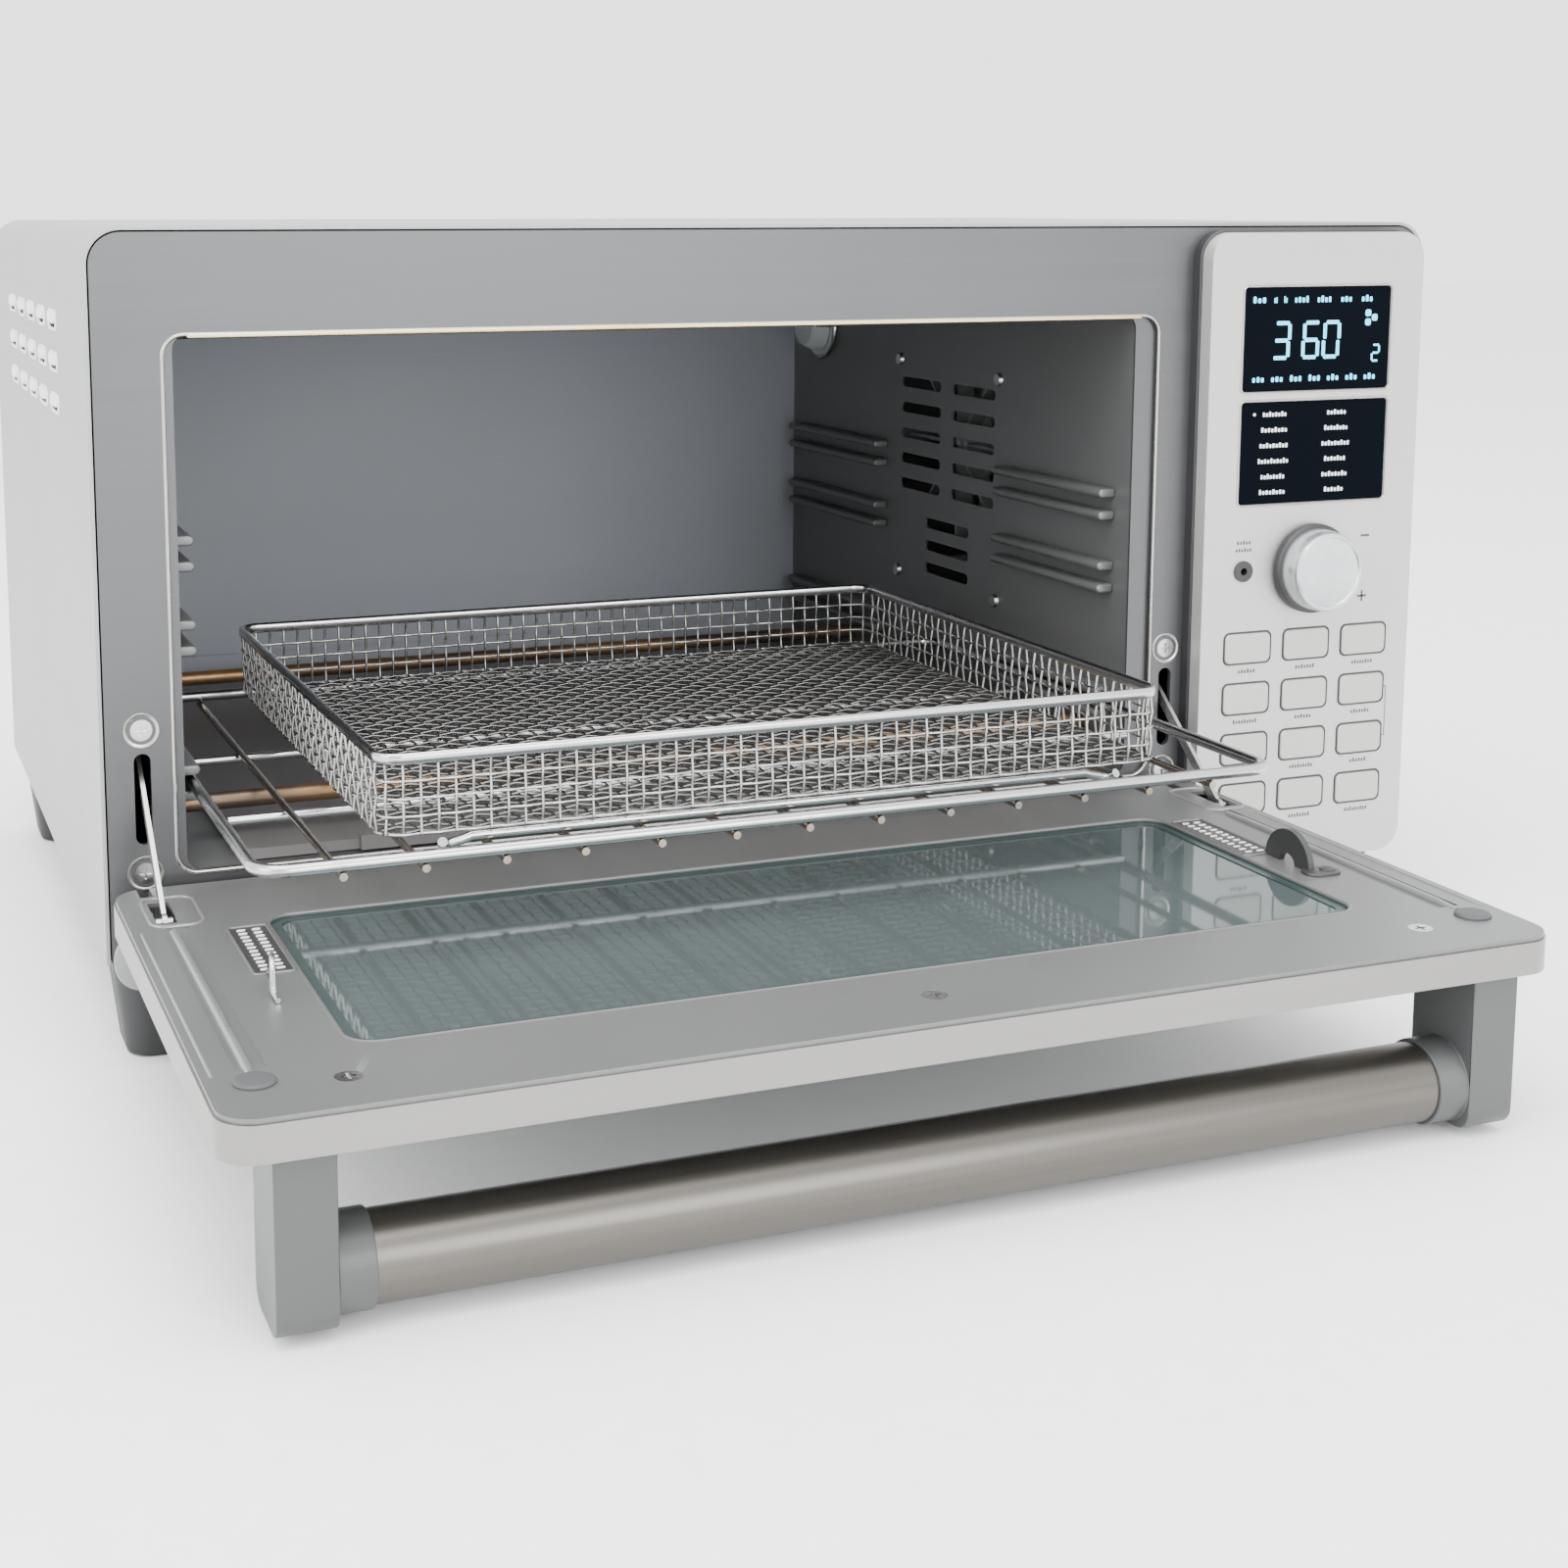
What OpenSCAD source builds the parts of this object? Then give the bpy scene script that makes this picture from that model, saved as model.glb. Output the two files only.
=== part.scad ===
// Countertop convection oven with a drop-down door, a wire rack, a mesh
// basket, a crumb tray and a raised control panel.
// Millimetres. +Z up, the counter is z = 0. X runs left to right seen from
// the front and is centred on the casing. The front faces -Y. The origin is
// the centre of the footprint with the door lying open.

/* [Casing] */
// Width of the casing
body_w = 508; // [430:1:620]
// Depth of the casing, front frame to rear edge
body_d = 325; // [300:1:400]
// Height of the front, without the feet
body_h = 247; // [235:1:300]
// Gap between the counter and the front frame
stand_h = 26; // [24:1:40]
// How much higher the sides and the base end than the front
skirt_lift = 10; // [6:0.5:16]
// Radius of the casing's upper corners
corner_r = 12; // [6:0.5:20]
// Sheet thickness of the casing
skin_t = 1.2; // [0.8:0.1:2]
// Thickness of the front frame
frame_t = 2; // [1.5:0.1:3]
// Dark gap between the casing and the front frame
frame_gap = 0.6; // [0.3:0.1:1.2]
// Inward flange along the casing's lower edges
flange_w = 14; // [10:1:20]

/* [Oven opening and cavity] */
// Width of the control bay at the right
bay_w = 103.5; // [98:0.5:120]
// Width of the stile left of the opening
stile_l = 23.5; // [22:0.5:30]
// Width of the stile right of the opening
stile_r = 14.5; // [12:0.5:22]
// Height of the frame above the opening
head_h = 34; // [28:1:45]
// Height of the sill below the opening
sill_h = 38.5; // [38.5:0.5:44]
// Corner radius of the opening
open_r = 7; // [4:0.5:12]
// Step from the opening to the cavity's left wall
step_l = 3.5; // [2:0.5:8]
// Step from the opening to the cavity's right wall
step_r = 9; // [4:0.5:12]
// Rise from the opening to the cavity's roof
step_top = 5; // [2:0.5:8]
// Gap behind the cavity, up to the casing's rear edge
rear_gap = 14; // [10:1:30]
// Sheet thickness of the cavity
liner_t = 1; // [0.8:0.1:1.5]

/* [Rack and basket] */
// Height of the rack's rails above the counter
rack_z = 90.5; // [88:0.5:94]
// How far the rack stands out with the door open
rack_out = 97; // [60:1:98]
// Depth of the rack
rack_d = 245; // [200:1:247]
// Gap between the rack and the cavity's walls, each side
rack_gap = 2.5; // [2:0.1:5]
// Radius of the rack's rails
rail_r = 2; // [1.5:0.1:2.5]
// Radius of the rack's wires
wire_r = 1.25; // [1:0.05:1.6]
// Number of wires across the rack
wire_count = 13; // [10:1:20]
// Width of the basket
basket_w = 270; // [200:1:300]
// Depth of the basket
basket_d = 228; // [180:1:230]
// Height of the basket
basket_h = 26; // [20:1:45]
// How far the basket's front stands behind the rack's front
basket_back = 9; // [6:1:15]
// Radius of the cradle's wire
cradle_r = 1.8; // [1.4:0.1:2.2]
// Height of the cradle
cradle_h = 5; // [4.5:0.5:10]

/* [Door] */
// Height of the door's axis below its inner face
hinge_drop = 9; // [8:0.5:10]
// Gap between the closed door and the front frame
door_gap = 1.5; // [1.2:0.1:2.5]
// Overall thickness of the door
door_t = 11.5; // [11:0.5:14]
// Reach of the open door in front of the frame
door_reach = 206; // [200:1:214]
// Height of the open door's inner face above the sill's foot
door_level = 36.5; // [36.5:0.5:40]
// Corner radius of the door
door_r = 11; // [6:0.5:16]
// Thickness of the door's glass
glass_t = 4; // [3:0.5:5]
// Width of the door's border beside the window
window_side = 41; // [30:1:60]
// Width of the door's border at its free edge
window_top = 41; // [30:1:60]
// Width of the door's border at its hinge
window_foot = 42; // [30:1:60]
// Radius of the handle's bar
bar_r = 12; // [8:0.5:12.5]
// Width of a handle post
post_w = 16; // [12:0.5:20]
// Depth of a handle post along the door
post_d = 27; // [24:0.5:32]
// Clearance of the handle above the counter
handle_lift = 2.5; // [2:0.5:6]
// How far the handle's posts stand in from the door's ends
post_inset = 13; // [8:0.5:30]

/* [Controls] */
// Width of the control panel
panel_w = 95; // [94:0.5:97]
// How far the panel stands out of the frame
panel_t = 11.5; // [10:0.5:13]
// Corner radius of the panel
panel_r = 10; // [4:0.5:12]
// Thickness of the panel's walls
panel_wall = 2.5; // [2:0.1:3]
// Radius of the knob
knob_r = 16.5; // [12:0.5:18]
// Height of the knob
knob_h = 13.5; // [10:0.5:18]
// Width of a button
button_w = 20.6; // [14:0.1:22]
// Height of a button
button_h = 11.8; // [8:0.1:14]
// Clearance around a button
button_gap = 0.4; // [0.3:0.05:0.6]
// Travel of a button
button_travel = 0.8; // [0.5:0.1:1]

/* [Fits] */
// Radial running clearance of pins and shafts
run = 0.05; // [0.03:0.01:0.08]
// Clearance between pieces that slide past each other
slip = 0.6; // [0.4:0.1:1]

/* [Hidden] */
$fn = 48;

// The casing's planes
inlet_out = 8;
left_x = -body_w / 2;
right_x = body_w / 2;
front_y = (door_reach - body_d - inlet_out) / 2;
rear_y = front_y + body_d;
top_z = stand_h + body_h;
base_z = stand_h + skirt_lift;

// The opening and the cavity's inner faces
open_x0 = left_x + stile_l;
bay_x = right_x - bay_w;
open_x1 = bay_x - stile_r;
open_z0 = stand_h + sill_h;
open_z1 = top_z - head_h;
cav_x0 = open_x0 + step_l;
cav_x1 = open_x1 - step_r;
cav_y0 = front_y + frame_t;
cav_y1 = rear_y - rear_gap;
cav_z0 = open_z0;
cav_z1 = open_z1 + step_top;

// The door as it lies open: the inner face looks up
door_x0 = left_x + 0.8;
door_x1 = bay_x - 1.3;
door_top = stand_h + door_level;
door_bottom = door_top - door_t;
axis_y = front_y - door_gap - hinge_drop;
axis_z = door_top - hinge_drop;
door_foot = 4;
door_y1 = axis_y + door_foot;
door_y0 = front_y - door_reach;
plate_t = 1.5;
skin_door = 1.2;
win_x0 = door_x0 + window_side;
win_x1 = door_x1 - window_side;
win_y0 = door_y0 + window_top;
win_y1 = door_y1 - window_foot;
pin_r = 2.2;
ear_t = 2.5;
ear_in = 9;
ear_half = 4;
ear_gap = 0.8;
ear_swing = ear_half * sqrt(2) + 0.6;
knuckle_w = 8;
arm_y = front_y - 37.5;
arm_z = door_top - 2.2;
arm_w = 1.4;
arm_h = 3.8;
arm_len = 72;
arm_tilt = 40;
arm_in = 13.3;
arm_pin_r = 1.5;
hook_in = 31;
hook_y = front_y - rack_out - 7;

// The rack, pulled out by rack_out
rack_x0 = cav_x0 + rack_gap + rail_r;
rack_x1 = cav_x1 - rack_gap - rail_r;
rack_y0 = front_y - rack_out;
rack_y1 = rack_y0 + rack_d;
rack_corner = 9;
wire_z = rack_z - rail_r - wire_r;
stay_r = 1.5;
basket_x0 = (rack_x0 + rack_x1 - basket_w) / 2;
basket_x1 = basket_x0 + basket_w;
basket_y0 = rack_y0 + basket_back;
basket_y1 = basket_y0 + basket_d;
cradle_z = rack_z - rail_r + 0.05;
basket_z0 = cradle_z + cradle_h;
basket_z1 = basket_z0 + basket_h;

// The control panel and its grid of controls
panel_x0 = bay_x + 0.1;
panel_x1 = panel_x0 + panel_w;
panel_z0 = stand_h + 1;
panel_z1 = top_z - 3.6;
panel_y = front_y - panel_t;
panel_cx = (panel_x0 + panel_x1) / 2;
button_pitch_x = 26.6;
button_pitch_z = 19.6;
button_z = top_z - 160.2;
button_t = 4.6;
knob_z = top_z - 130.6;
shaft_r = 3;
board_y = front_y - 1.6;

// Fan behind the right wall
fan_y = front_y + 150;
fan_z = top_z - 96;
fan_r = 44;

function button_x(i) = panel_cx + (i % 3 - 1) * button_pitch_x;
function button_row(i) = button_z - floor(i / 3) * button_pitch_z;

// A box between two corners
module block(a, b) { translate(a) cube(b - a); }

// A rectangle with round corners in X and Z, extruded along +Y from y
module plate_xz(x0, x1, z0, z1, r, y, t) {
    translate([0, y + t, 0]) rotate([90, 0, 0]) linear_extrude(height = t) rounded(x0, x1, z0, z1, r);
}

// A rectangle with round corners in X and Y, extruded up from z
module plate_xy(x0, x1, y0, y1, r, z, t) {
    translate([0, 0, z]) linear_extrude(height = t) rounded(x0, x1, y0, y1, r);
}

// Rounded rectangle made of squares and circles
module rounded(x0, x1, y0, y1, r) {
    translate([x0 + r, y0]) square([x1 - x0 - 2 * r, y1 - y0]);
    translate([x0, y0 + r]) square([x1 - x0, y1 - y0 - 2 * r]);
    for (x = [x0 + r, x1 - r], y = [y0 + r, y1 - r]) translate([x, y]) circle(r = r);
}

// A rod along X, Y or Z between two places
module rod_x(x0, x1, y, z, r) { translate([x0, y, z]) rotate([0, 90, 0]) cylinder(r = r, h = x1 - x0); }
module rod_y(x, y0, y1, z, r) { translate([x, y1, z]) rotate([90, 0, 0]) cylinder(r = r, h = y1 - y0); }
module rod_z(x, y, z0, z1, r) { translate([x, y, z0]) cylinder(r = r, h = z1 - z0); }

// A quarter bend of rod in the XY plane, from +X round to +Y
module bend(x, y, z, turn, bend_r, r) {
    translate([x, y, z]) rotate([0, 0, turn]) rotate_extrude(angle = 90) translate([bend_r, 0])
        circle(r = r);
}

// A closed loop of rod with round corners, lying flat
module loop_xy(x0, x1, y0, y1, z, c, r) {
    rod_x(x0 + c, x1 - c, y0, z, r);
    rod_x(x0 + c, x1 - c, y1, z, r);
    rod_y(x0, y0 + c, y1 - c, z, r);
    rod_y(x1, y0 + c, y1 - c, z, r);
    bend(x1 - c, y1 - c, z, 0, c, r);
    bend(x0 + c, y1 - c, z, 90, c, r);
    bend(x0 + c, y0 + c, z, 180, c, r);
    bend(x1 - c, y0 + c, z, 270, c, r);
}

// A countersunk screw head and shank along an axis that points out of the face
module screw(head_r, len) {
    difference() {
        union() {
            translate([0, 0, -1.4]) cylinder(r1 = head_r * 0.55, r2 = head_r, h = 1.4);
            translate([0, 0, -len]) cylinder(r = head_r * 0.5, h = len - 1);
        }
        for (a = [0, 90]) rotate([0, 0, a]) translate([-head_r * 0.55, -0.4, -0.7])
            cube([head_r * 1.1, 0.8, 1]);
    }
}

// ---- Casing ----

module outer_profile(grow) {
    translate([left_x + grow, base_z]) square([body_w - 2 * grow, body_h - skirt_lift - corner_r]);
    translate([left_x + corner_r, base_z]) square([body_w - 2 * corner_r, body_h - skirt_lift - grow]);
    for (x = [left_x + corner_r, right_x - corner_r])
        translate([x, top_z - corner_r]) circle(r = corner_r - grow);
}

vent_rows = 3;
vent_cols = 5;
module outer_shell() {
    color("gainsboro") {
        difference() {
            translate([0, rear_y, 0]) rotate([90, 0, 0]) linear_extrude(height = body_d) difference() {
                outer_profile(0);
                outer_profile(skin_t);
                translate([left_x + skin_t, base_z - 1]) square([body_w - 2 * skin_t, body_h / 2]);
            }
            for (side = [left_x, right_x - skin_t], c = [0 : vent_cols - 1], r = [0 : vent_rows - 1])
                translate([side - 1, rear_y - 85.5 - c * 37, top_z - 33 - r * 14.5]) rotate([0, 90, 0])
                    linear_extrude(height = skin_t + 2) {
                        translate([-2.8, -8]) square([5.6, 16]);
                        for (e = [-8, 8]) translate([0, e]) circle(r = 2.8);
                    }
        }
        for (x = [left_x + skin_t, right_x - skin_t - flange_w])
            block([x, front_y + frame_t, base_z], [x + flange_w, rear_y, base_z + skin_t]);
    }
}

module rear_cover() {
    color("darkgray") difference() {
        plate_xz(left_x + skin_t, right_x - skin_t, base_z + skin_t, top_z - skin_t, corner_r - skin_t,
            rear_y - 6, 1.2);
        for (c = [0 : 11], r = [0 : 3])
            translate([left_x + 110 + c * 26, rear_y - 7, top_z - 40 - r * 12])
                block([-9, 0, -1.5], [9, 4, 1.5]);
        translate([right_x - 60, rear_y, base_z + 40]) rotate([90, 0, 0]) cylinder(r = 8, h = 10);
    }
}

module base_pan() {
    color("darkgray") difference() {
        block([left_x + skin_t + flange_w, front_y + frame_t, base_z],
            [right_x - skin_t - flange_w, rear_y - 6, base_z + 1.2]);
        for (c = [0 : 9])
            translate([left_x + 110 + c * 22, rear_y - 60, base_z - 1]) block([-2, -30, 0], [2, 30, 4]);
    }
}

// Slot that a door arm passes through
module arm_slot(x) {
    plate_xz(x - 2.7, x + 2.7, top_z - 198, top_z - 168, 2.65, front_y - 1, frame_t + 12);
}

arm_x_left = left_x + arm_in;
arm_x_right = open_x1 + stile_r / 2 - 0.5;

module front_frame() {
    color("silver") difference() {
        union() {
            plate_xz(left_x + skin_t + frame_gap, right_x - skin_t - frame_gap, stand_h,
                top_z - skin_t - frame_gap,
                corner_r - skin_t - frame_gap, front_y, frame_t);
            // step that carries the cavity
            plate_xz(open_x0 - 3, open_x1 + 3, open_z0 - 3, cav_z1 + 3, open_r, front_y + frame_t, 1.2);
            // ears that hold the hinge pins
            for (x = ear_places)
                block([x, axis_y - ear_half, axis_z - ear_half],
                    [x + ear_t, front_y + 0.5, axis_z + ear_half]);
        }
        plate_xz(open_x0, open_x1, open_z0, open_z1, open_r, front_y - 1, frame_t + 1);
        plate_xz(cav_x0, cav_x1, cav_z0, open_z1, open_r - 2, front_y, 10);
        // hole behind the control panel
        plate_xz(panel_x0 + 6, panel_x1 - 6, panel_z0 + 6, panel_z1 - 6, 4, front_y - 1, frame_t + 2);
        for (x = [arm_x_left, arm_x_right]) arm_slot(x);
        for (x = ear_places) rod_x(x - 1, x + ear_t + 1, axis_y, axis_z, pin_r);
        for (p = frame_screw_places) translate(p) rotate([90, 0, 0]) {
            translate([0, 0, -6]) cylinder(r = 2, h = 10);
            translate([0, 0, -1.4]) cylinder(r1 = 2, r2 = 3.6, h = 1.45);
        }
    }
}

ear_places = [door_x0 + ear_in, door_x1 - ear_in - ear_t];
frame_screw_places = [
    for (x = [arm_x_left, arm_x_right], z = [top_z - 160.3, top_z - 207.6]) [x, front_y, z]
];

// ---- Cavity ----

module cavity_left_wall() {
    color("gray") difference() {
        block([cav_x0 - liner_t, cav_y0 + 1.2, cav_z0], [cav_x0, cav_y1, cav_z1]);
        for (y = [upper_rows[0], upper_rows[1]])
            rod_x(cav_x0 - 5, cav_x0 + 5, y, upper_z, element_r + 0.3);
        for (y = [lower_rows[0], lower_rows[1]])
            rod_x(cav_x0 - 5, cav_x0 + 5, y, lower_z, element_r + 0.3);
    }
}

// Horizontal slot with round ends through the right wall, centred at y and z
module wall_slot(y, z, len, h) {
    translate([cav_x1 - 1, y, z]) rotate([90, 0, 90]) linear_extrude(height = liner_t + 2) {
        translate([-len / 2 + h / 2, -h / 2]) square([len - h, h]);
        for (e = [-1, 1]) translate([e * (len - h) / 2, 0]) circle(r = h / 2);
    }
}

module cavity_right_wall() {
    color("gray") difference() {
        block([cav_x1, cav_y0 + 1.2, cav_z0], [cav_x1 + liner_t, cav_y1, cav_z1]);
        for (c = [0, 1], r = [0 : 4]) wall_slot(fan_y + (c - 0.5) * 48, fan_z + 24 - r * 11.4, 38, 4.6);
        for (r = [0 : 2]) wall_slot(fan_y - 2, fan_z - 37 - r * 10, 40, 4.6);
        for (y = upper_rows) rod_x(cav_x1 - 5, cav_x1 + 5, y, upper_z, element_r + 0.3);
        for (y = lower_rows) rod_x(cav_x1 - 5, cav_x1 + 5, y, lower_z, element_r + 0.3);
    }
}

module cavity_rear_wall() {
    color("lightsteelblue") union() {
        block([cav_x0 - liner_t, cav_y1, cav_z0], [cav_x1 + liner_t, cav_y1 + liner_t, cav_z1]);
        plate_xz(cav_x0 + 12, cav_x1 - 34, cav_z0 + 10, cav_z1 - 8, 6, cav_y1 - 1.4, 1.4);
    }
}

module cavity_roof() {
    color("gray") block([cav_x0 - liner_t, cav_y0 + 1.2, cav_z1],
        [cav_x1 + liner_t, cav_y1 + liner_t, cav_z1 + liner_t]);
}

module cavity_floor() {
    color("dimgray") block([cav_x0 - liner_t, cav_y0 + 1.2, cav_z0 - liner_t],
        [cav_x1 + liner_t, cav_y1 + liner_t, cav_z0]);
}

// Pressed rails that carry the rack at three heights, a front and a rear pair on each side
guide_out = 7;
guide_h = 3.4;
guide_levels = [rack_z, top_z - 134, top_z - 106];
guide_runs = [[front_y + 13, front_y + 97], [front_y + 206, front_y + 302]];

module guide_bar(side, y0, y1, z) {
    x = side < 0 ? cav_x0 : cav_x1 - guide_out;
    tip = side < 0 ? cav_x0 + guide_out - guide_h / 2 : cav_x1 - guide_out + guide_h / 2;
    x0 = side < 0 ? x : tip;
    x1 = side < 0 ? tip : cav_x1;
    block([x0, y0, z - guide_h / 2], [x1, y1, z + guide_h / 2]);
    rod_y(tip, y0, y1, z, guide_h / 2);
}

module rack_guides() {
    rise = rail_r + slip + guide_h / 2;
    color("slategray") for (side = [-1, 1], run_y = guide_runs, level = guide_levels) {
        guide_bar(side, run_y[0], run_y[1], level - rise);
        guide_bar(side, run_y[0], run_y[1], level + rise);
    }
}

// ---- Heating elements ----

element_r = 3;
upper_z = cav_z1 - 7;
lower_z = rack_z - rail_r - 2 * wire_r - 4.6 - element_r;
upper_rows = [front_y + 62, cav_y1 - 70];
lower_rows = [front_y + 34, cav_y1 - 70];

module element_rod(y, z) { rod_x(cav_x0 - 8, cav_x1 + 8, y, z, element_r); }

module upper_elements() { color("dimgray") for (y = upper_rows) element_rod(y, upper_z); }

module lower_elements() { color("sienna") for (y = lower_rows) element_rod(y, lower_z); }

// Ceramic bushes outside the cavity that hold the ends of the elements
module element_supports() {
    color("ivory") for (x = [cav_x0 - liner_t - 5, cav_x1 + liner_t], p = [
        for (y = upper_rows) [y, upper_z],
        for (y = lower_rows) [y, lower_z]
    ]) difference() {
        rod_x(x, x + 5, p[0], p[1], element_r + 3);
        rod_x(x - 1, x + 6, p[0], p[1], element_r);
    }
}

// ---- Convection fan ----

fan_x = cav_x1 + liner_t + 4;
module fan_motor() {
    color("dimgray") {
        rod_x(fan_x + 14, fan_x + 44, fan_y, fan_z, 24);
        rod_x(fan_x - 1, fan_x + 14, fan_y, fan_z, shaft_r);
        for (a = [0 : 90 : 270]) translate([fan_x + 14, fan_y, fan_z]) rotate([a, 0, 0]) {
            block([0, -4, 22], [1.5, 4, fan_r + 8]);
            block([-18, -4, fan_r + 6.5], [1.5, 4, fan_r + 8]);
        }
    }
}

module fan_blade() {
    color("silver") difference() {
        union() {
            rod_x(fan_x, fan_x + 9, fan_y, fan_z, 8);
            rod_x(fan_x + 7.8, fan_x + 9, fan_y, fan_z, 20);
            for (a = [0 : 45 : 315])
                translate([fan_x + 0.5, fan_y, fan_z]) rotate([a, 0, 0])
                    block([0, -0.6, 5], [7.9, 0.6, fan_r]);
        }
        rod_x(fan_x - 1, fan_x + 10, fan_y, fan_z, shaft_r + run);
    }
}

// ---- Oven lamp ----

lamp_y = cav_y1 - 34;
lamp_z = cav_z1 - 21;
lamp_r = 15;
module lamp_lens() {
    color("aliceblue") translate([cav_x1, lamp_y, lamp_z]) rotate([0, -90, 0]) rotate_extrude() {
        square([lamp_r, 3]);
        difference() {
            translate([0, 3]) circle(r = lamp_r - 2);
            translate([-lamp_r, 3 - 2 * lamp_r]) square([2 * lamp_r, 2 * lamp_r]);
            translate([-lamp_r, -lamp_r]) square([lamp_r, 4 * lamp_r]);
            translate([-1, 11]) square([lamp_r, lamp_r]);
        }
    }
}

module lamp_clip() {
    color("silver") {
        rod_x(cav_x1 - 12.4, cav_x1, lamp_y - lamp_r - 2, lamp_z, 0.9);
        rod_x(cav_x1 - 12.4, cav_x1, lamp_y + lamp_r + 2, lamp_z, 0.9);
        rod_y(cav_x1 - 12.4, lamp_y - lamp_r - 2, lamp_y + lamp_r + 2, lamp_z, 0.9);
    }
}

cavity_screw_places = [
    [cav_x1, fan_y + 44, fan_z + 34], [cav_x1, fan_y - 46, fan_z + 31],
        [cav_x1, fan_y + 44, fan_z - 62],
    [cav_x1, fan_y - 46, fan_z - 62]
];
module casing_screws() {
    color("gainsboro") {
        for (p = frame_screw_places) translate(p) rotate([90, 0, 0]) screw(3.5, 7);
        for (p = cavity_screw_places) translate(p) rotate([0, -90, 0])
            cylinder(r1 = 3, r2 = 2.4, h = 1.4);
    }
}

// ---- Crumb tray ----

tray_w_gap = 18;
tray_z = cav_z0 + 0.6;
module crumb_tray() {
    x0 = cav_x0 + tray_w_gap;
    x1 = cav_x1 - tray_w_gap;
    y0 = cav_y0 + 2.4;
    y1 = cav_y1 - 8;
    color("dimgray") difference() {
        union() {
            plate_xy(x0, x1, y0, y1, 6, tray_z, 3.6);
            block([x0 + 40, y0 - 2, tray_z], [x1 - 40, y0 + 6, tray_z + 5]);
        }
        plate_xy(x0 + 1.2, x1 - 1.2, y0 + 1.2, y1 - 1.2, 5, tray_z + 1, 6);
    }
}

// ---- Control panel ----

window_w = 66;
display_z = top_z - 43.3;
display_h = 39;
menu_z = top_z - 86;
menu_h = 38.7;
jack_x = panel_cx - 29.8;
jack_r = 3.4;

module control_panel() {
    color("silver") difference() {
        plate_xz(panel_x0, panel_x1, panel_z0, panel_z1, panel_r, panel_y, panel_t);
        plate_xz(panel_x0 + 2, panel_x1 - 2, panel_z0 + 2, panel_z1 - 2, panel_r - 2,
            panel_y + panel_wall, panel_t);
        plate_xz(panel_cx - window_w / 2, panel_cx + window_w / 2, display_z - display_h / 2,
            display_z + display_h / 2,
            1.5, panel_y - 1, panel_wall + 2);
        plate_xz(panel_cx - window_w / 2, panel_cx + window_w / 2, menu_z - menu_h / 2,
            menu_z + menu_h / 2,
            1.5, panel_y - 1, panel_wall + 2);
        rod_y(panel_cx, panel_y - 1, panel_y + panel_wall + 1, knob_z, shaft_r + 0.8);
        rod_y(jack_x, panel_y - 1, panel_y + panel_wall + 1, knob_z, jack_r);
        for (i = [0 : 11])
            plate_xz(button_x(i) - button_w / 2 - button_gap, button_x(i) + button_w / 2 + button_gap,
            button_row(i) - button_h / 2 - button_gap, button_row(i) + button_h / 2 + button_gap,
            2.6 + button_gap, panel_y - 1, panel_wall + 2);
    }
}

module panel_window(z, h) {
    plate_xz(panel_cx - window_w / 2 + 0.1, panel_cx + window_w / 2 - 0.1, z - h / 2 + 0.1,
        z + h / 2 - 0.1,
        1.4, panel_y + 0.3, panel_wall + 0.9);
}
module display_window() { color("black") panel_window(display_z, display_h); }
module menu_window() { color("black") panel_window(menu_z, menu_h); }

module control_board() {
    color("darkgreen") {
        difference() {
            block([panel_x0 + 4, board_y, panel_z0 + 10], [panel_x1 - 4, board_y + 1.6, panel_z1 - 8]);
            rod_y(panel_cx, board_y - 1, board_y + 3, knob_z, 8);
            rod_y(jack_x, board_y - 1, board_y + 3, knob_z, jack_r + 1);
        }
        for (i = [0 : 11])
            block([button_x(i) - 3, panel_y + button_t + button_travel - 0.4, button_row(i) - 3],
            [button_x(i) + 3, board_y, button_row(i) + 3]);
        for (z = [display_z, menu_z])
            block([panel_cx - 30, panel_y + panel_wall + 1.2, z - 16],
                [panel_cx + 30, board_y, z + 16]);
    }
}

module encoder_housing() {
    color("dimgray") difference() {
        block([panel_cx - 7.5, panel_y + panel_wall, knob_z - 7.5],
            [panel_cx + 7.5, board_y, knob_z + 7.5]);
        rod_y(panel_cx, panel_y, board_y + 1, knob_z, shaft_r + run);
    }
}

module encoder_plunger() {
    color("gray") difference() {
        rod_y(panel_cx, board_y + 0.4, board_y + 1.6, knob_z, 6);
        rod_y(panel_cx, board_y, board_y + 3, knob_z, shaft_r + run);
    }
}

module knob() {
    color("gainsboro") union() {
        rod_y(panel_cx, panel_y - 4.1 - 0.9, panel_y - 0.9, knob_z, knob_r + 0.7);
        translate([panel_cx, panel_y - 5, knob_z]) rotate([90, 0, 0])
            cylinder(r1 = knob_r, r2 = knob_r - 0.6, h = knob_h - 6);
        translate([panel_cx, panel_y + 1 - knob_h, knob_z]) rotate([90, 0, 0])
            cylinder(r1 = knob_r - 0.6, r2 = knob_r - 1.8, h = 1);
        rod_y(panel_cx, panel_y - 2, board_y + 1.6, knob_z, shaft_r);
    }
}

module button(i) {
    color("silver") plate_xz(button_x(i) - button_w / 2, button_x(i) + button_w / 2,
        button_row(i) - button_h / 2, button_row(i) + button_h / 2, 2.6, panel_y - 0.5, button_t);
}
module button_1() { button(0); }
module button_2() { button(1); }
module button_3() { button(2); }
module button_4() { button(3); }
module button_5() { button(4); }
module button_6() { button(5); }
module button_7() { button(6); }
module button_8() { button(7); }
module button_9() { button(8); }
module button_10() { button(9); }
module button_11() { button(10); }
module button_12() { button(11); }

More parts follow.
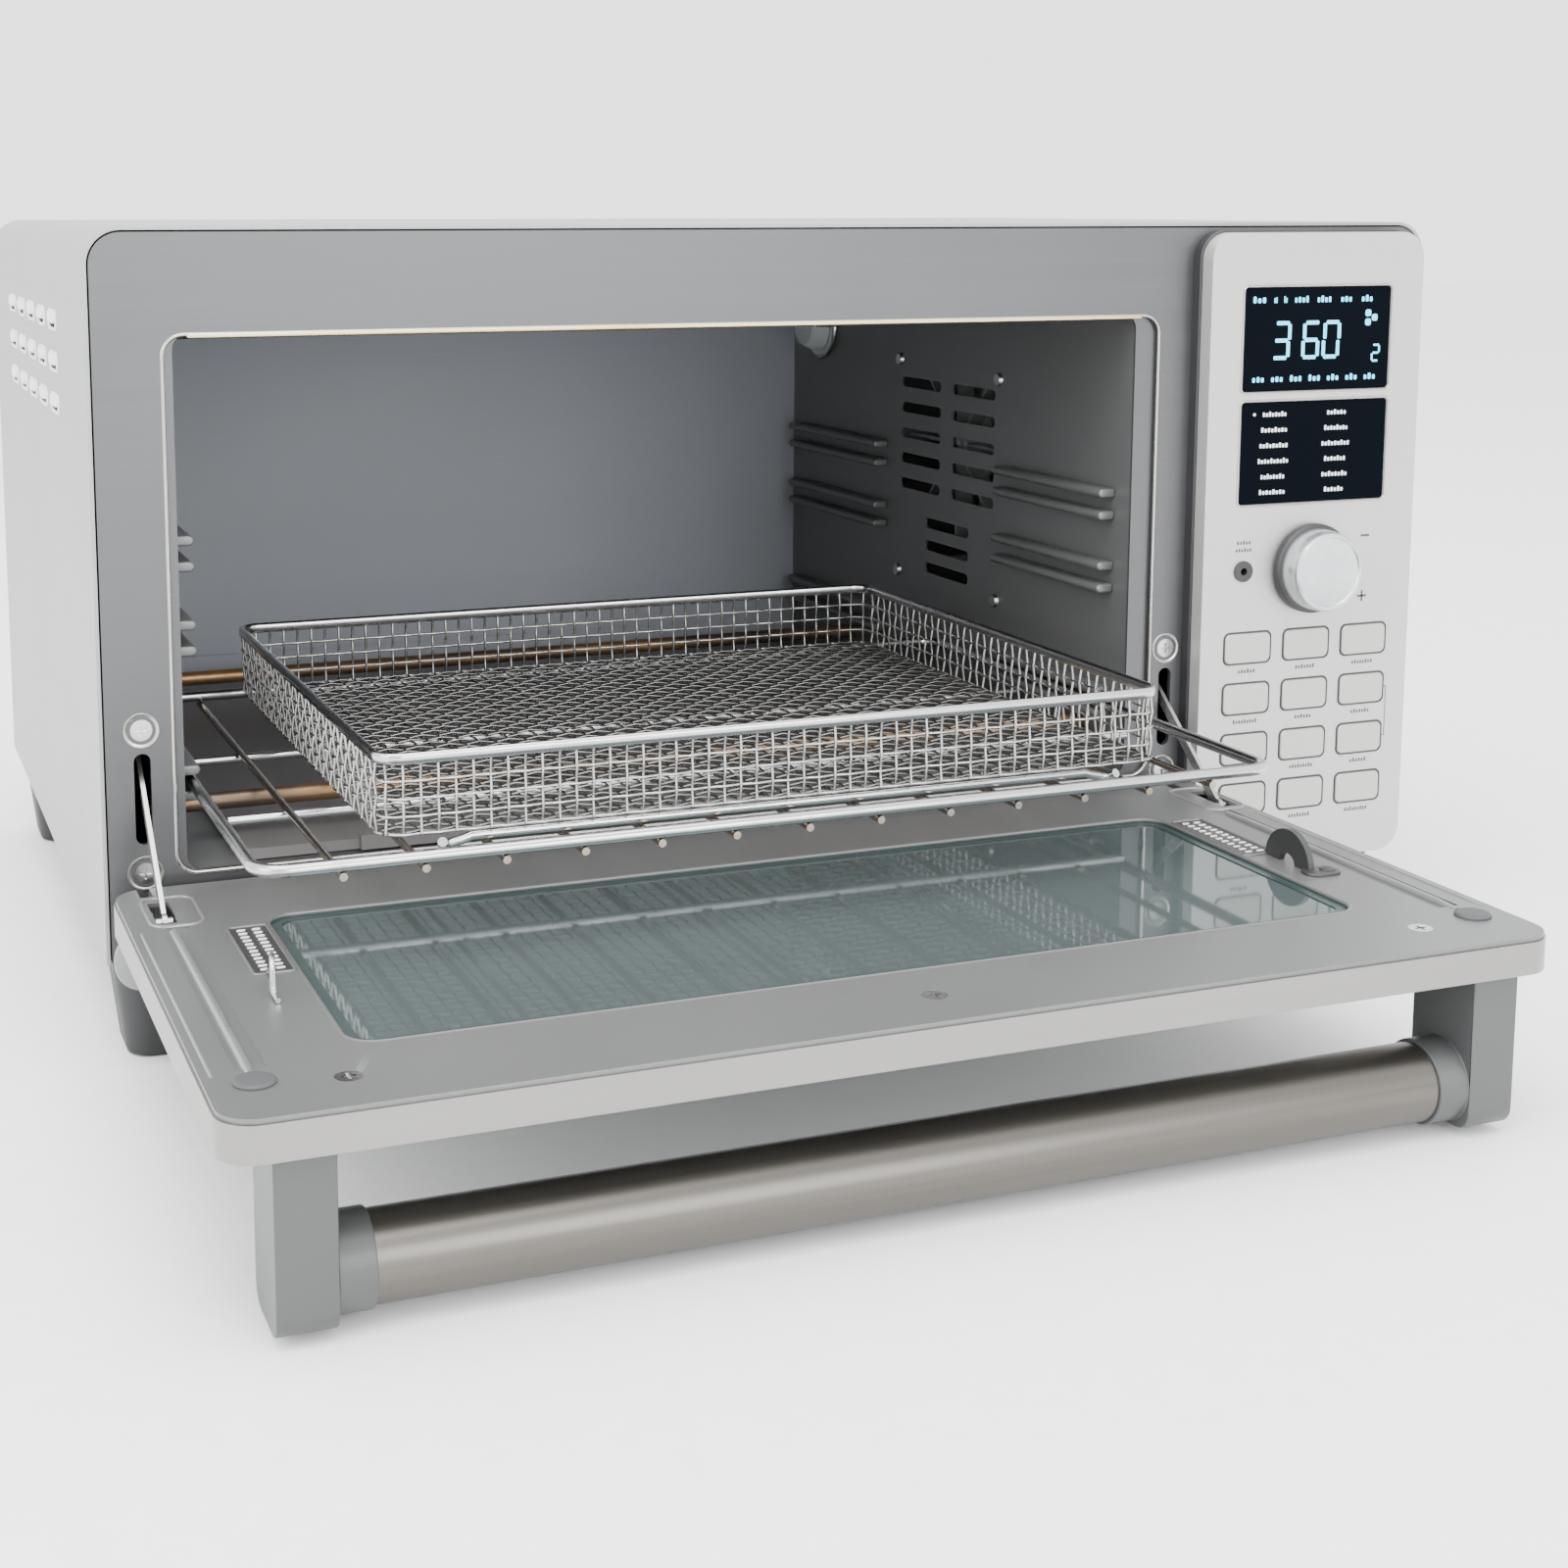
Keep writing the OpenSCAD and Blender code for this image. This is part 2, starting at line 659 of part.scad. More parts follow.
module probe_jack() {
    color("black") difference() {
        union() {
            rod_y(jack_x, panel_y - 0.4, board_y + 1, knob_z, jack_r - 0.05);
            rod_y(jack_x, panel_y - 0.8, panel_y, knob_z, jack_r + 0.6);
        }
        rod_y(jack_x, panel_y - 2, panel_y + 6, knob_z, 1.4);
    }
}

// ---- Cord inlet and feet ----

module cord_inlet() {
    color("black") difference() {
        union() {
            rod_y(right_x - 60, rear_y - 16, rear_y + inlet_out, base_z + 40, 7.9);
            rod_y(right_x - 60, rear_y - 4.8, rear_y - 1.8, base_z + 40, 12);
        }
        rod_y(right_x - 60, rear_y - 17, rear_y + inlet_out + 1, base_z + 40, 3.6);
    }
}

foot_r = 20;
module feet() {
    color("dimgray") for (x = [left_x + foot_r + 2, right_x - foot_r - 2],
        y = [front_y + frame_t + foot_r + 1, rear_y - foot_r - 6])
        translate([x, y, 0]) {
            cylinder(r1 = foot_r - 4.5, r2 = foot_r - 2.5, h = 3);
            translate([0, 0, 3]) cylinder(r1 = foot_r - 2.5, r2 = foot_r, h = base_z - 3);
        }
}

// ---- Door ----

module window_hole(grow, z, t) {
    plate_xy(win_x0 - grow, win_x1 + grow, win_y0 - grow, win_y1 + grow, 9, z, t);
}

// Notches in the hinge edge that clear the frame's ears
module ear_notches() {
    for (x = ear_places)
        block([x - ear_gap, axis_y - ear_swing, door_bottom - 1],
            [x + ear_t + ear_gap, door_y1 + 1, door_top + 1]);
}

module door_outer_shell() {
    color("silver") difference() {
        plate_xy(door_x0, door_x1, door_y0, door_y1, door_r, door_bottom, door_t - plate_t);
        plate_xy(door_x0 + skin_door, door_x1 - skin_door, door_y0 + skin_door, door_y1 - skin_door,
            door_r - skin_door,
            door_bottom + skin_door, door_t);
        window_hole(-4, door_bottom - 1, 4);
        ear_notches();
        // relief round the hinge pins
        for (x = knuckle_places) rod_x(x - 1, x + knuckle_w + 1, axis_y, axis_z, pin_r + 0.4);
    }
}

arm_pocket = 3.2;
module door_inner_panel() {
    color("darkgray") difference() {
        plate_xy(door_x0 + 0.6, door_x1 - 0.6, door_y0 + 0.6, door_y1 - 0.6, door_r - 0.6,
            door_top - plate_t, plate_t);
        window_hole(0, door_top - plate_t - 1, plate_t + 2);
        ear_notches();
        // recess round each door arm
        for (x = [arm_x_left, arm_x_right]) {
            block([x - arm_pocket, arm_y - 8, door_top - plate_t - 1],
                [x + arm_pocket, arm_y + 14, door_top + 1]);
        }
        // pressed channel beside each end of the door
        for (x = [door_x0 + 10, door_x1 - 18])
            block([x, door_y0 + 34, door_top - 0.7], [x + 8, arm_y - 12, door_top + 1]);
        for (p = door_screw_places) translate(p) {
            translate([0, 0, -4]) cylinder(r = 2, h = 5);
            translate([0, 0, -1.4]) cylinder(r1 = 2.15, r2 = 3.85, h = 1.45);
        }
    }
}

door_screw_places = [
    for (x = [door_x0 + 36, (door_x0 + door_x1) / 2, door_x1 - 36]) [x, door_y0 + 20, door_top]
];
module door_screws() { color("gainsboro") for (p = door_screw_places) translate(p) screw(3.7, 6); }

module door_glass() {
    color("lightblue") window_hole(10, door_top - plate_t - glass_t, glass_t);
}

module glass_seal() {
    seal_z = door_bottom + skin_door;
    color("black") difference() {
        window_hole(10, seal_z, door_top - plate_t - glass_t - seal_z);
        window_hole(3, seal_z - 1, door_t);
    }
}

// Bored blocks inside the door that turn on the hinge pins
module door_knuckles() {
    color("gray") for (x = knuckle_places) difference() {
        block([x, axis_y - 8, door_bottom + skin_door],
            [x + knuckle_w, door_y1 - skin_door, door_top - plate_t]);
        rod_x(x - 1, x + knuckle_w + 1, axis_y, axis_z, pin_r + run);
    }
}
knuckle_places = [ear_places[0] + ear_t + ear_gap, ear_places[1] - ear_gap - knuckle_w];

module hinge_pins() {
    color("silver") {
        rod_x(ear_places[0], knuckle_places[0] + knuckle_w, axis_y, axis_z, pin_r);
        rod_x(knuckle_places[1], ear_places[1] + ear_t, axis_y, axis_z, pin_r);
    }
}

module door_bumpers() {
    color("gray") for (x = [door_x0 + 13, door_x1 - 13]) translate([x, door_y0 + 24, door_top]) {
        cylinder(r = 5.6, h = door_gap - 0.4);
    }
}

post_cy = door_y0 + 3 + post_d / 2;
post_x = [door_x0 + post_inset + post_w / 2, door_x1 - post_inset - post_w / 2];
bar_z = handle_lift + bar_r + 1;
module handle_posts() {
    color("silver") for (s = [-1, 1]) {
        x = s < 0 ? post_x[0] : post_x[1];
        collar_x = s < 0 ? x + post_w / 2 : x - post_w / 2 - 10;
        bore_x = s < 0 ? x - post_w / 2 + 2 : x - post_w / 2 - 11;
        difference() {
            union() {
                translate([x - post_w / 2, 0, 0]) rotate([90, 0, 90]) linear_extrude(height = post_w)
                    rounded_foot(post_cy - post_d / 2, post_cy + post_d / 2, handle_lift,
                        door_bottom, 6);
                // collar that holds the bar
                rod_x(collar_x, collar_x + 10, post_cy, bar_z, bar_r + 0.9);
            }
            rod_x(bore_x, bore_x + post_w + 9, post_cy, bar_z, bar_r - 1.5);
        }
    }
}

// Outline of a post: square at the door, round at its lower corners
module rounded_foot(y0, y1, z0, z1, r) {
    translate([y0, z0 + r]) square([y1 - y0, z1 - z0 - r]);
    translate([y0 + r, z0]) square([y1 - y0 - 2 * r, 2 * r]);
    for (y = [y0 + r, y1 - r]) translate([y, z0 + r]) circle(r = r);
}

module handle_bar() {
    x0 = post_x[0] + post_w / 2;
    x1 = post_x[1] - post_w / 2;
    color("rosybrown") difference() {
        union() {
            rod_x(x0 + 10, x1 - 10, post_cy, bar_z, bar_r);
            rod_x(x0 - post_w + 2, x1 + post_w - 2, post_cy, bar_z, bar_r - 1.5);
        }
        rod_x(x0 - post_w, x1 + post_w, post_cy, bar_z, bar_r - 3);
    }
}

// Arched hooks that draw the rack out
module rack_hooks() {
    color("dimgray") for (x = [door_x0 + hook_in, door_x1 - hook_in]) {
        difference() {
            translate([x - 1, hook_y - 10, door_top]) rotate([90, 0, 90]) linear_extrude(height = 2)
                difference() {
                circle(r = 10);
                circle(r = 6.5);
                translate([-20, -40]) square([40, 40]);
            }
        }
        block([x - 4, hook_y - 22, door_top], [x + 4, hook_y - 16.5, door_top + 1]);
    }
}

// ---- Door arms: a strap from the door through the slot in the stile ----

module door_arm(x) {
    color("gainsboro") translate([x, arm_y, arm_z]) rotate([arm_tilt, 0, 0]) difference() {
        union() {
            block([-arm_w / 2, -1, -arm_h / 2], [arm_w / 2, arm_len, arm_h / 2]);
            rod_x(-arm_w / 2, arm_w / 2, 0, 0, 2.8);
            rod_x(-2.6, 2.6, 0, 0, arm_pin_r);
            block([-2.2, arm_len - 3, -arm_h / 2], [2.2, arm_len - 1.5, arm_h / 2]);
        }
    }
}
module door_arm_left() { door_arm(arm_x_left); }
module door_arm_right() { door_arm(arm_x_right); }

// ---- Rack ----

// Front and rear rails with their bent ends
module rack_end_rails() {
    c = rack_corner;
    color("silver") for (y = [rack_y0, rack_y1]) {
        inner = y < rack_y1 ? y + c : y - c;
        rod_x(rack_x0 + c, rack_x1 - c, y, rack_z, rail_r);
        bend(rack_x0 + c, inner, rack_z, y < rack_y1 ? 180 : 90, c, rail_r);
        bend(rack_x1 - c, inner, rack_z, y < rack_y1 ? 270 : 0, c, rail_r);
    }
}

// Side rails, and two stiffeners under the wires
module rack_side_rails() {
    color("silver") {
        for (x = [rack_x0, rack_x1]) rod_y(x, rack_y0 + rack_corner, rack_y1 - rack_corner, rack_z,
            rail_r);
        for (f = [1 / 3, 2 / 3])
            rod_x(rack_x0 + 6, rack_x1 - 6, rack_y0 + rack_d * f, wire_z - wire_r - stay_r, stay_r);
    }
}

module rack_wires() {
    pitch = (rack_x1 - rack_x0) / (wire_count + 1);
    color("silver") for (i = [1 : wire_count])
        rod_y(rack_x0 + i * pitch, rack_y0 - rail_r + 0.6, rack_y1 + rail_r - 0.6, wire_z, wire_r);
}

// ---- Basket ----

rim_h = 3.6;
rim_t = 2.6;
mesh_t = 1.6;
basket_r = 8;
module basket_rim() {
    color("gainsboro") difference() {
        plate_xy(basket_x0, basket_x1, basket_y0, basket_y1, basket_r, basket_z1 - rim_h, rim_h);
        plate_xy(basket_x0 + rim_t, basket_x1 - rim_t, basket_y0 + rim_t, basket_y1 - rim_t,
            basket_r - rim_t,
            basket_z1 - rim_h - 1, rim_h + 2);
    }
}

module basket_mesh() {
    g = 0.5;
    color("silver") difference() {
        plate_xy(basket_x0 + g, basket_x1 - g, basket_y0 + g, basket_y1 - g, basket_r - g,
            basket_z0, basket_h - rim_h);
        plate_xy(basket_x0 + g + mesh_t, basket_x1 - g - mesh_t, basket_y0 + g + mesh_t,
            basket_y1 - g - mesh_t,
            basket_r - g - mesh_t, basket_z0 + mesh_t, basket_h);
    }
}

module basket_cradle() {
    in = 10;
    z = basket_z0 - cradle_r;
    color("gainsboro") {
        loop_xy(basket_x0 + in, basket_x1 - in, basket_y0 + 3, basket_y1 - 3, z, 8, cradle_r);
        for (x = [basket_x0 + in + 10, basket_x1 - in - 10], y = [basket_y0 + 3, basket_y1 - 3])
            rod_z(x, y, cradle_z, z, cradle_r);
    }
}

outer_shell();
rear_cover();
base_pan();
front_frame();
cavity_left_wall();
cavity_right_wall();
cavity_rear_wall();
cavity_roof();
cavity_floor();
rack_guides();
upper_elements();
lower_elements();
element_supports();
fan_motor();
fan_blade();
lamp_lens();
lamp_clip();
control_panel();
display_window();
menu_window();
control_board();
encoder_housing();
encoder_plunger();
knob();
button_1();
button_2();
button_3();
button_4();
button_5();
button_6();
button_7();
button_8();
button_9();
button_10();
button_11();
button_12();
probe_jack();
cord_inlet();
feet();
hinge_pins();
casing_screws();
door_outer_shell();
door_inner_panel();
door_glass();
glass_seal();
door_knuckles();
door_bumpers();
door_screws();
handle_posts();
handle_bar();
rack_hooks();
door_arm_left();
door_arm_right();
rack_end_rails();
rack_side_rails();
rack_wires();
basket_rim();
basket_mesh();
basket_cradle();
crumb_tray();
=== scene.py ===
"""Looks of a countertop convection oven whose door lies open on its hinge.

Each sub-assembly is a class that reads its place from the fixed frame, builds
the meshes the frame lacks and dresses everything that rides on its bodies.
Lengths in the dataclass fields are millimetres; meshes are made in metres.
"""

import logging
import math
from dataclasses import dataclass
from enum import Enum
from typing import Callable, Sequence

import bmesh
import bpy
import numpy as np
from mathutils import Matrix, Vector


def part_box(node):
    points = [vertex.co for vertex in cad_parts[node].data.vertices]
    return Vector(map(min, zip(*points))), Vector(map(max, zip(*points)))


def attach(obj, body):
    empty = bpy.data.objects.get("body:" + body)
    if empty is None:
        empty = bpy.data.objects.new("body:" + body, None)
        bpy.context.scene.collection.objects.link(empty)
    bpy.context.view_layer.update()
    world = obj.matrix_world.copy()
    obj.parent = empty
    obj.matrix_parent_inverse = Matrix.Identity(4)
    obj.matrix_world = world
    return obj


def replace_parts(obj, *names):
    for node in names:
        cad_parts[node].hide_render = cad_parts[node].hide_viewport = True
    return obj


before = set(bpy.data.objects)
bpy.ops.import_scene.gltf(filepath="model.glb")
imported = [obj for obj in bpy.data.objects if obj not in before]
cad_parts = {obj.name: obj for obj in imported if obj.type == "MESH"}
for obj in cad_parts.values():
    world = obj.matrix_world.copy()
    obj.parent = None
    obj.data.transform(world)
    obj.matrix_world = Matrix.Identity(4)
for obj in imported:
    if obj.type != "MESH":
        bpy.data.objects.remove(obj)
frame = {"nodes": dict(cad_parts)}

MM = 0.001
TURN = 2 * math.pi
EVEN = (1.0, 1.0, 1.0)  # noise that is not stretched

Colour = tuple[float, float, float]
Point = tuple[float, float, float]
Pair = tuple[float, float]
Box = tuple[float, float, float, float]  # u0, u1, v0, v1
Outline = Sequence[Pair]
BMesh = bmesh.types.BMesh
Mesh = bpy.types.Mesh
Node = bpy.types.Node

log = logging.getLogger("oven")


# ---------------------------------------------------------------- node graphs


class Signal:
    """A number socket that turns Python arithmetic into Math nodes."""

    def __init__(self, graph: "Graph", socket: bpy.types.NodeSocket) -> None:
        """Keeps the graph and the output socket."""
        self.graph = graph
        self.socket = socket

    def _math(self, operation: str, *terms: "Signal | float") -> "Signal":
        """Adds one Math node over the terms and wraps its output."""
        node = self.graph.add("ShaderNodeMath", {"operation": operation}, dict(enumerate(terms)))
        return self.graph.signal(node)

    def __add__(self, other: "Signal | float") -> "Signal":
        """Sum."""
        return self._math("ADD", self, other)

    __radd__ = __add__

    def __sub__(self, other: "Signal | float") -> "Signal":
        """Difference."""
        return self._math("SUBTRACT", self, other)

    def __mul__(self, other: "Signal | float") -> "Signal":
        """Product."""
        return self._math("MULTIPLY", self, other)

    def __truediv__(self, other: "Signal | float") -> "Signal":
        """Quotient."""
        return self._math("DIVIDE", self, other)

    def cosine(self) -> "Signal":
        """Cosine."""
        return self._math("COSINE", self)

    def clamped(self) -> "Signal":
        """The value held between nought and one."""
        return self._math("MINIMUM", self._math("MAXIMUM", self, 0.0), 1.0)


class Graph:
    """Adds nodes to one shader or geometry tree."""

    def __init__(self, tree: bpy.types.NodeTree) -> None:
        """Empties the tree."""
        self.tree = tree
        tree.nodes.clear()

    def add(self, kind: str, settings: dict | None = None, inputs: dict | None = None) -> Node:
        """Adds a node.

        Args:
            kind: the node's type.
            settings: properties, set before the sockets; "stops" fills a ramp.
            inputs: values, sockets, nodes or Signals by socket name or index.

        Returns:
            The new node.
        """
        node = self.tree.nodes.new(kind)
        for key, value in (settings or {}).items():
            if key == "stops":
                self._stops(node.color_ramp, value)
            else:
                setattr(node, key, value)
        for key, value in (inputs or {}).items():
            self.feed(node.inputs[key], value)
        return node

    def feed(self, socket: bpy.types.NodeSocket, value: object) -> None:
        """Links a Signal, node or socket to an input, or sets its value.

        Args:
            socket: the input.
            value: what it takes.
        """
        if isinstance(value, Signal):
            value = value.socket
        if isinstance(value, Node):
            value = value.outputs[0]
        if isinstance(value, bpy.types.NodeSocket):
            self.tree.links.new(value, socket)
        elif isinstance(value, tuple) and len(value) == 3 and socket.type == "RGBA":
            socket.default_value = (*value, 1.0)
        else:
            socket.default_value = value

    def _stops(self, ramp: bpy.types.ColorRamp, stops: Outline) -> None:
        """Fills a ramp with grey stops given as (place, level).

        Args:
            ramp: the colour ramp.
            stops: the stops, in order.
        """
        while len(ramp.elements) < len(stops):
            ramp.elements.new(0.5)
        for element, (place, level) in zip(ramp.elements, stops):
            element.position = place
            element.color = (level, level, level, 1.0)

    def signal(self, node: Node, output: int | str = 0) -> Signal:
        """Wraps a node's output for arithmetic."""
        return Signal(self, node.outputs[output])

    def mix(self, factor: Signal | float, low: object, high: object) -> bpy.types.NodeSocket:
        """Mixes two colours and returns the colour socket."""
        node = self.add("ShaderNodeMix", {"data_type": "RGBA"}, {0: factor, 6: low, 7: high})
        return node.outputs[2]

    def noise(self, stretch: Point, scale: float, detail: float = 3.0, rough: float = 0.55) -> Signal:
        """Noise on object coordinates, in metres, stretched per axis.

        Args:
            stretch: scale per axis.
            scale: overall scale.
            detail: number of octaves.
            rough: how strong the fine octaves are.

        Returns:
            The noise, about 0.5 on average.
        """
        place = self.add("ShaderNodeTexCoord").outputs["Object"]
        mapping = self.add("ShaderNodeMapping", None, {"Vector": place, "Scale": stretch})
        texture = {"Vector": mapping, "Scale": scale, "Detail": detail, "Roughness": rough}
        return self.signal(self.add("ShaderNodeTexNoise", None, texture))

    def ramp(self, value: Signal, stops: Outline) -> Signal:
        """Passes a value through a grey ramp."""
        return self.signal(self.add("ShaderNodeValToRGB", {"stops": stops}, {0: value}))


# ------------------------------------------------------------------- finishes


class Grain(Enum):
    """Direction in which a metal was brushed; the value stretches the noise."""

    ALONG_X = (6.0, 900.0, 900.0)
    ALONG_Y = (900.0, 6.0, 900.0)
    NONE = (240.0, 240.0, 240.0)


@dataclass(frozen=True)
class Finish:
    """A finish with a name, a colour and a surface; subclasses add detail.

    Attributes:
        name: the material's name.
        colour: the main colour, linear.
        roughness: the mean roughness.
        metallic: how metallic the surface is.
        slot: the record's material slot that it matches; not used.
    """

    name: str
    colour: Colour
    roughness: float = 0.4
    metallic: float = 0.0
    slot: str = ""

    def material(self) -> bpy.types.Material:
        """Returns the material, made on first use."""
        made = bpy.data.materials.get(self.name)
        if made:
            return made
        made = bpy.data.materials.new(self.name)
        made.use_nodes = True
        graph = Graph(made.node_tree)
        surface = {"Base Color": self.colour, "Roughness": self.roughness, "Metallic": self.metallic}
        shader = graph.add("ShaderNodeBsdfPrincipled", None, surface)
        graph.add("ShaderNodeOutputMaterial", None, {"Surface": shader})
        self.detail(graph, shader)
        return made

    def detail(self, graph: Graph, shader: Node) -> None:
        """Adds the finish's own detail; a plain finish has uneven tone and gloss."""
        cloud = graph.noise(EVEN, 90.0, 4.0, 0.6)
        self.tone(graph, shader, cloud, 0.94, 1.06)
        self.gloss(graph, shader, (cloud - 0.5) * 0.08)

    def shade(self, factor: float) -> Colour:
        """The colour made darker or lighter by a factor."""
        return tuple(min(1.0, c * factor) for c in self.colour)

    def tone(self, graph: Graph, shader: Node, factor: Signal, low: float, high: float) -> None:
        """Feeds the base colour with a mix of two shades of the colour."""
        graph.feed(shader.inputs["Base Color"], graph.mix(factor, self.shade(low), self.shade(high)))

    def gloss(self, graph: Graph, shader: Node, change: Signal) -> None:
        """Feeds the roughness with its mean plus a varying change."""
        graph.feed(shader.inputs["Roughness"], self.roughness + change)

    def bump(self, graph: Graph, shader: Node, height: Signal, strength: float, depth: float) -> None:
        """Feeds a Bump node into the shader's normal; the depth is in metres."""
        relief = {"Strength": strength, "Distance": depth, "Height": height}
        graph.feed(shader.inputs["Normal"], graph.add("ShaderNodeBump", None, relief))


@dataclass(frozen=True)
class Brushed(Finish):
    """Brushed metal with fine scratches and cloudy handling marks.

    Attributes:
        grain: the direction of brushing.
        contrast: how far the streaks change the colour.
        smudge: how far the handling marks change the gloss.
        fine_share: how much of a streak is fine grain; the rest is broad.
    """

    grain: Grain = Grain.ALONG_X
    contrast: float = 0.12
    smudge: float = 0.05
    fine_share: float = 0.65

    def detail(self, graph: Graph, shader: Node) -> None:
        """Adds streaks, smudges and a scratch bump."""
        fine = graph.noise(self.grain.value, 1.0, 4.0, 0.7)
        broad = graph.noise(tuple(v * 0.22 for v in self.grain.value), 1.0, 2.0, 0.5)
        cloud = graph.noise(EVEN, 11.0, 3.0, 0.6)
        streak = fine * self.fine_share + broad * (1.0 - self.fine_share)
        level = ((streak - 0.5) * (self.contrast * 6.0) + 0.5 + (cloud - 0.5) * 0.5).clamped()
        self.tone(graph, shader, level, 1 - self.contrast, 1 + self.contrast)
        self.gloss(graph, shader, (streak - 0.5) * 0.18 + (cloud - 0.5) * (self.smudge * 3.0))
        self.bump(graph, shader, streak, 0.22, 0.00012)


@dataclass(frozen=True)
class Coated(Finish):
    """Baked coat with a fine orange peel and faint scuffs.

    Attributes:
        peel: strength of the peel's bump.
        scuff: how pale the scuffs are.
    """

    peel: float = 0.25
    scuff: float = 0.25

    def detail(self, graph: Graph, shader: Node) -> None:
        """Adds peel, tone drift and light scuffs."""
        peel = graph.noise(EVEN, 1400.0, 2.0, 0.5)
        drift = graph.noise(EVEN, 9.0, 4.0, 0.65)
        scratch = graph.ramp(graph.noise((60.0, 500.0, 420.0), 1.0, 3.0, 0.8), ((0.62, 0.0), (0.72, 1.0)))
        base = graph.mix(drift, self.shade(0.90), self.shade(1.08))
        scuffed = graph.mix(scratch * (self.scuff * 0.5), base, self.shade(1.6))
        graph.feed(shader.inputs["Base Color"], scuffed)
        self.gloss(graph, shader, (drift - 0.5) * 0.2 + scratch * 0.06)
        self.bump(graph, shader, peel, self.peel, 0.00008)


@dataclass(frozen=True)
class Plated(Finish):
    """Bright plated wire with slight waviness and dull patches."""

    def detail(self, graph: Graph, shader: Node) -> None:
        """Adds ripple and dull tarnish."""
        tarnish = graph.ramp(graph.noise(EVEN, 60.0, 4.0, 0.7), ((0.45, 0.0), (0.75, 1.0)))
        ripple = graph.noise(EVEN, 380.0, 2.0, 0.5)
        self.tone(graph, shader, tarnish * 0.6, 1.05, 0.72)
        self.gloss(graph, shader, tarnish * 0.16)
        self.bump(graph, shader, ripple, 0.12, 0.0001)


@dataclass(frozen=True)
class BandedTint(Finish):
    """Metal sheath coloured in bands from its colour to a tint, straw to brown by default, with a matt
    scale: heat tint on the element sheaths, painted highlight on the mouth's top edge, painted reflection
    on the rack wires.
    """

    tint: Colour = (0.42, 0.25, 0.12)

    def detail(self, graph: Graph, shader: Node) -> None:
        """Adds tint bands along X and a scaly bump."""
        band = graph.ramp(graph.noise((9.0, 40.0, 40.0), 1.0, 3.0, 0.6), ((0.38, 0.0), (0.62, 1.0)))
        scale = graph.noise(EVEN, 700.0, 3.0, 0.7)
        graph.feed(shader.inputs["Base Color"], graph.mix(band, self.colour, self.tint))
        self.gloss(graph, shader, (scale - 0.5) * 0.3)
        self.bump(graph, shader, scale, 0.3, 0.0001)


@dataclass(frozen=True)
class Moulded(Finish):
    """Moulded plastic or rubber with a spark-eroded grain."""

    grit: float = 0.35

    def detail(self, graph: Graph, shader: Node) -> None:
        """Adds grain, tone and rubbed patches."""
        grit = graph.noise(EVEN, 1800.0, 3.0, 0.6)
        rub = graph.noise(EVEN, 35.0, 4.0, 0.65)
        self.tone(graph, shader, rub, 0.85, 1.2)
        self.gloss(graph, shader, (rub - 0.5) * 0.25)
        self.bump(graph, shader, grit, self.grit, 0.0001)


@dataclass(frozen=True)
class Pane(Finish):
    """Tinted glass with faint wiping marks.

    Attributes:
        alpha: how much of what lies behind it is hidden.
        smear: how far the wiping marks change the gloss.
        specular: level of the clear reflection.
        ior: refractive index.
    """

    alpha: float = 0.4
    smear: float = 0.08
    specular: float = 0.5
    ior: float = 1.52

    def detail(self, graph: Graph, shader: Node) -> None:
        """Adds wiping marks in gloss and a slight change of tint."""
        wipe = graph.noise((14.0, 46.0, 30.0), 1.0, 4.0, 0.65)
        self.tone(graph, shader, wipe, 0.9, 1.1)
        self.gloss(graph, shader, wipe * self.smear)
        shader.inputs["Alpha"].default_value = self.alpha
        shader.inputs["IOR"].default_value = self.ior
        shader.inputs["Specular IOR Level"].default_value = self.specular


@dataclass(frozen=True)
class Lit(Finish):
    """A glowing mark on a display."""

    power: float = 1.6

    def detail(self, graph: Graph, shader: Node) -> None:
        """Adds an uneven glow."""
        cell = graph.noise(EVEN, 900.0, 2.0, 0.5)
        graph.feed(shader.inputs["Emission Color"], graph.mix(cell, self.shade(0.8), self.shade(1.1)))
        shader.inputs["Emission Strength"].default_value = self.power


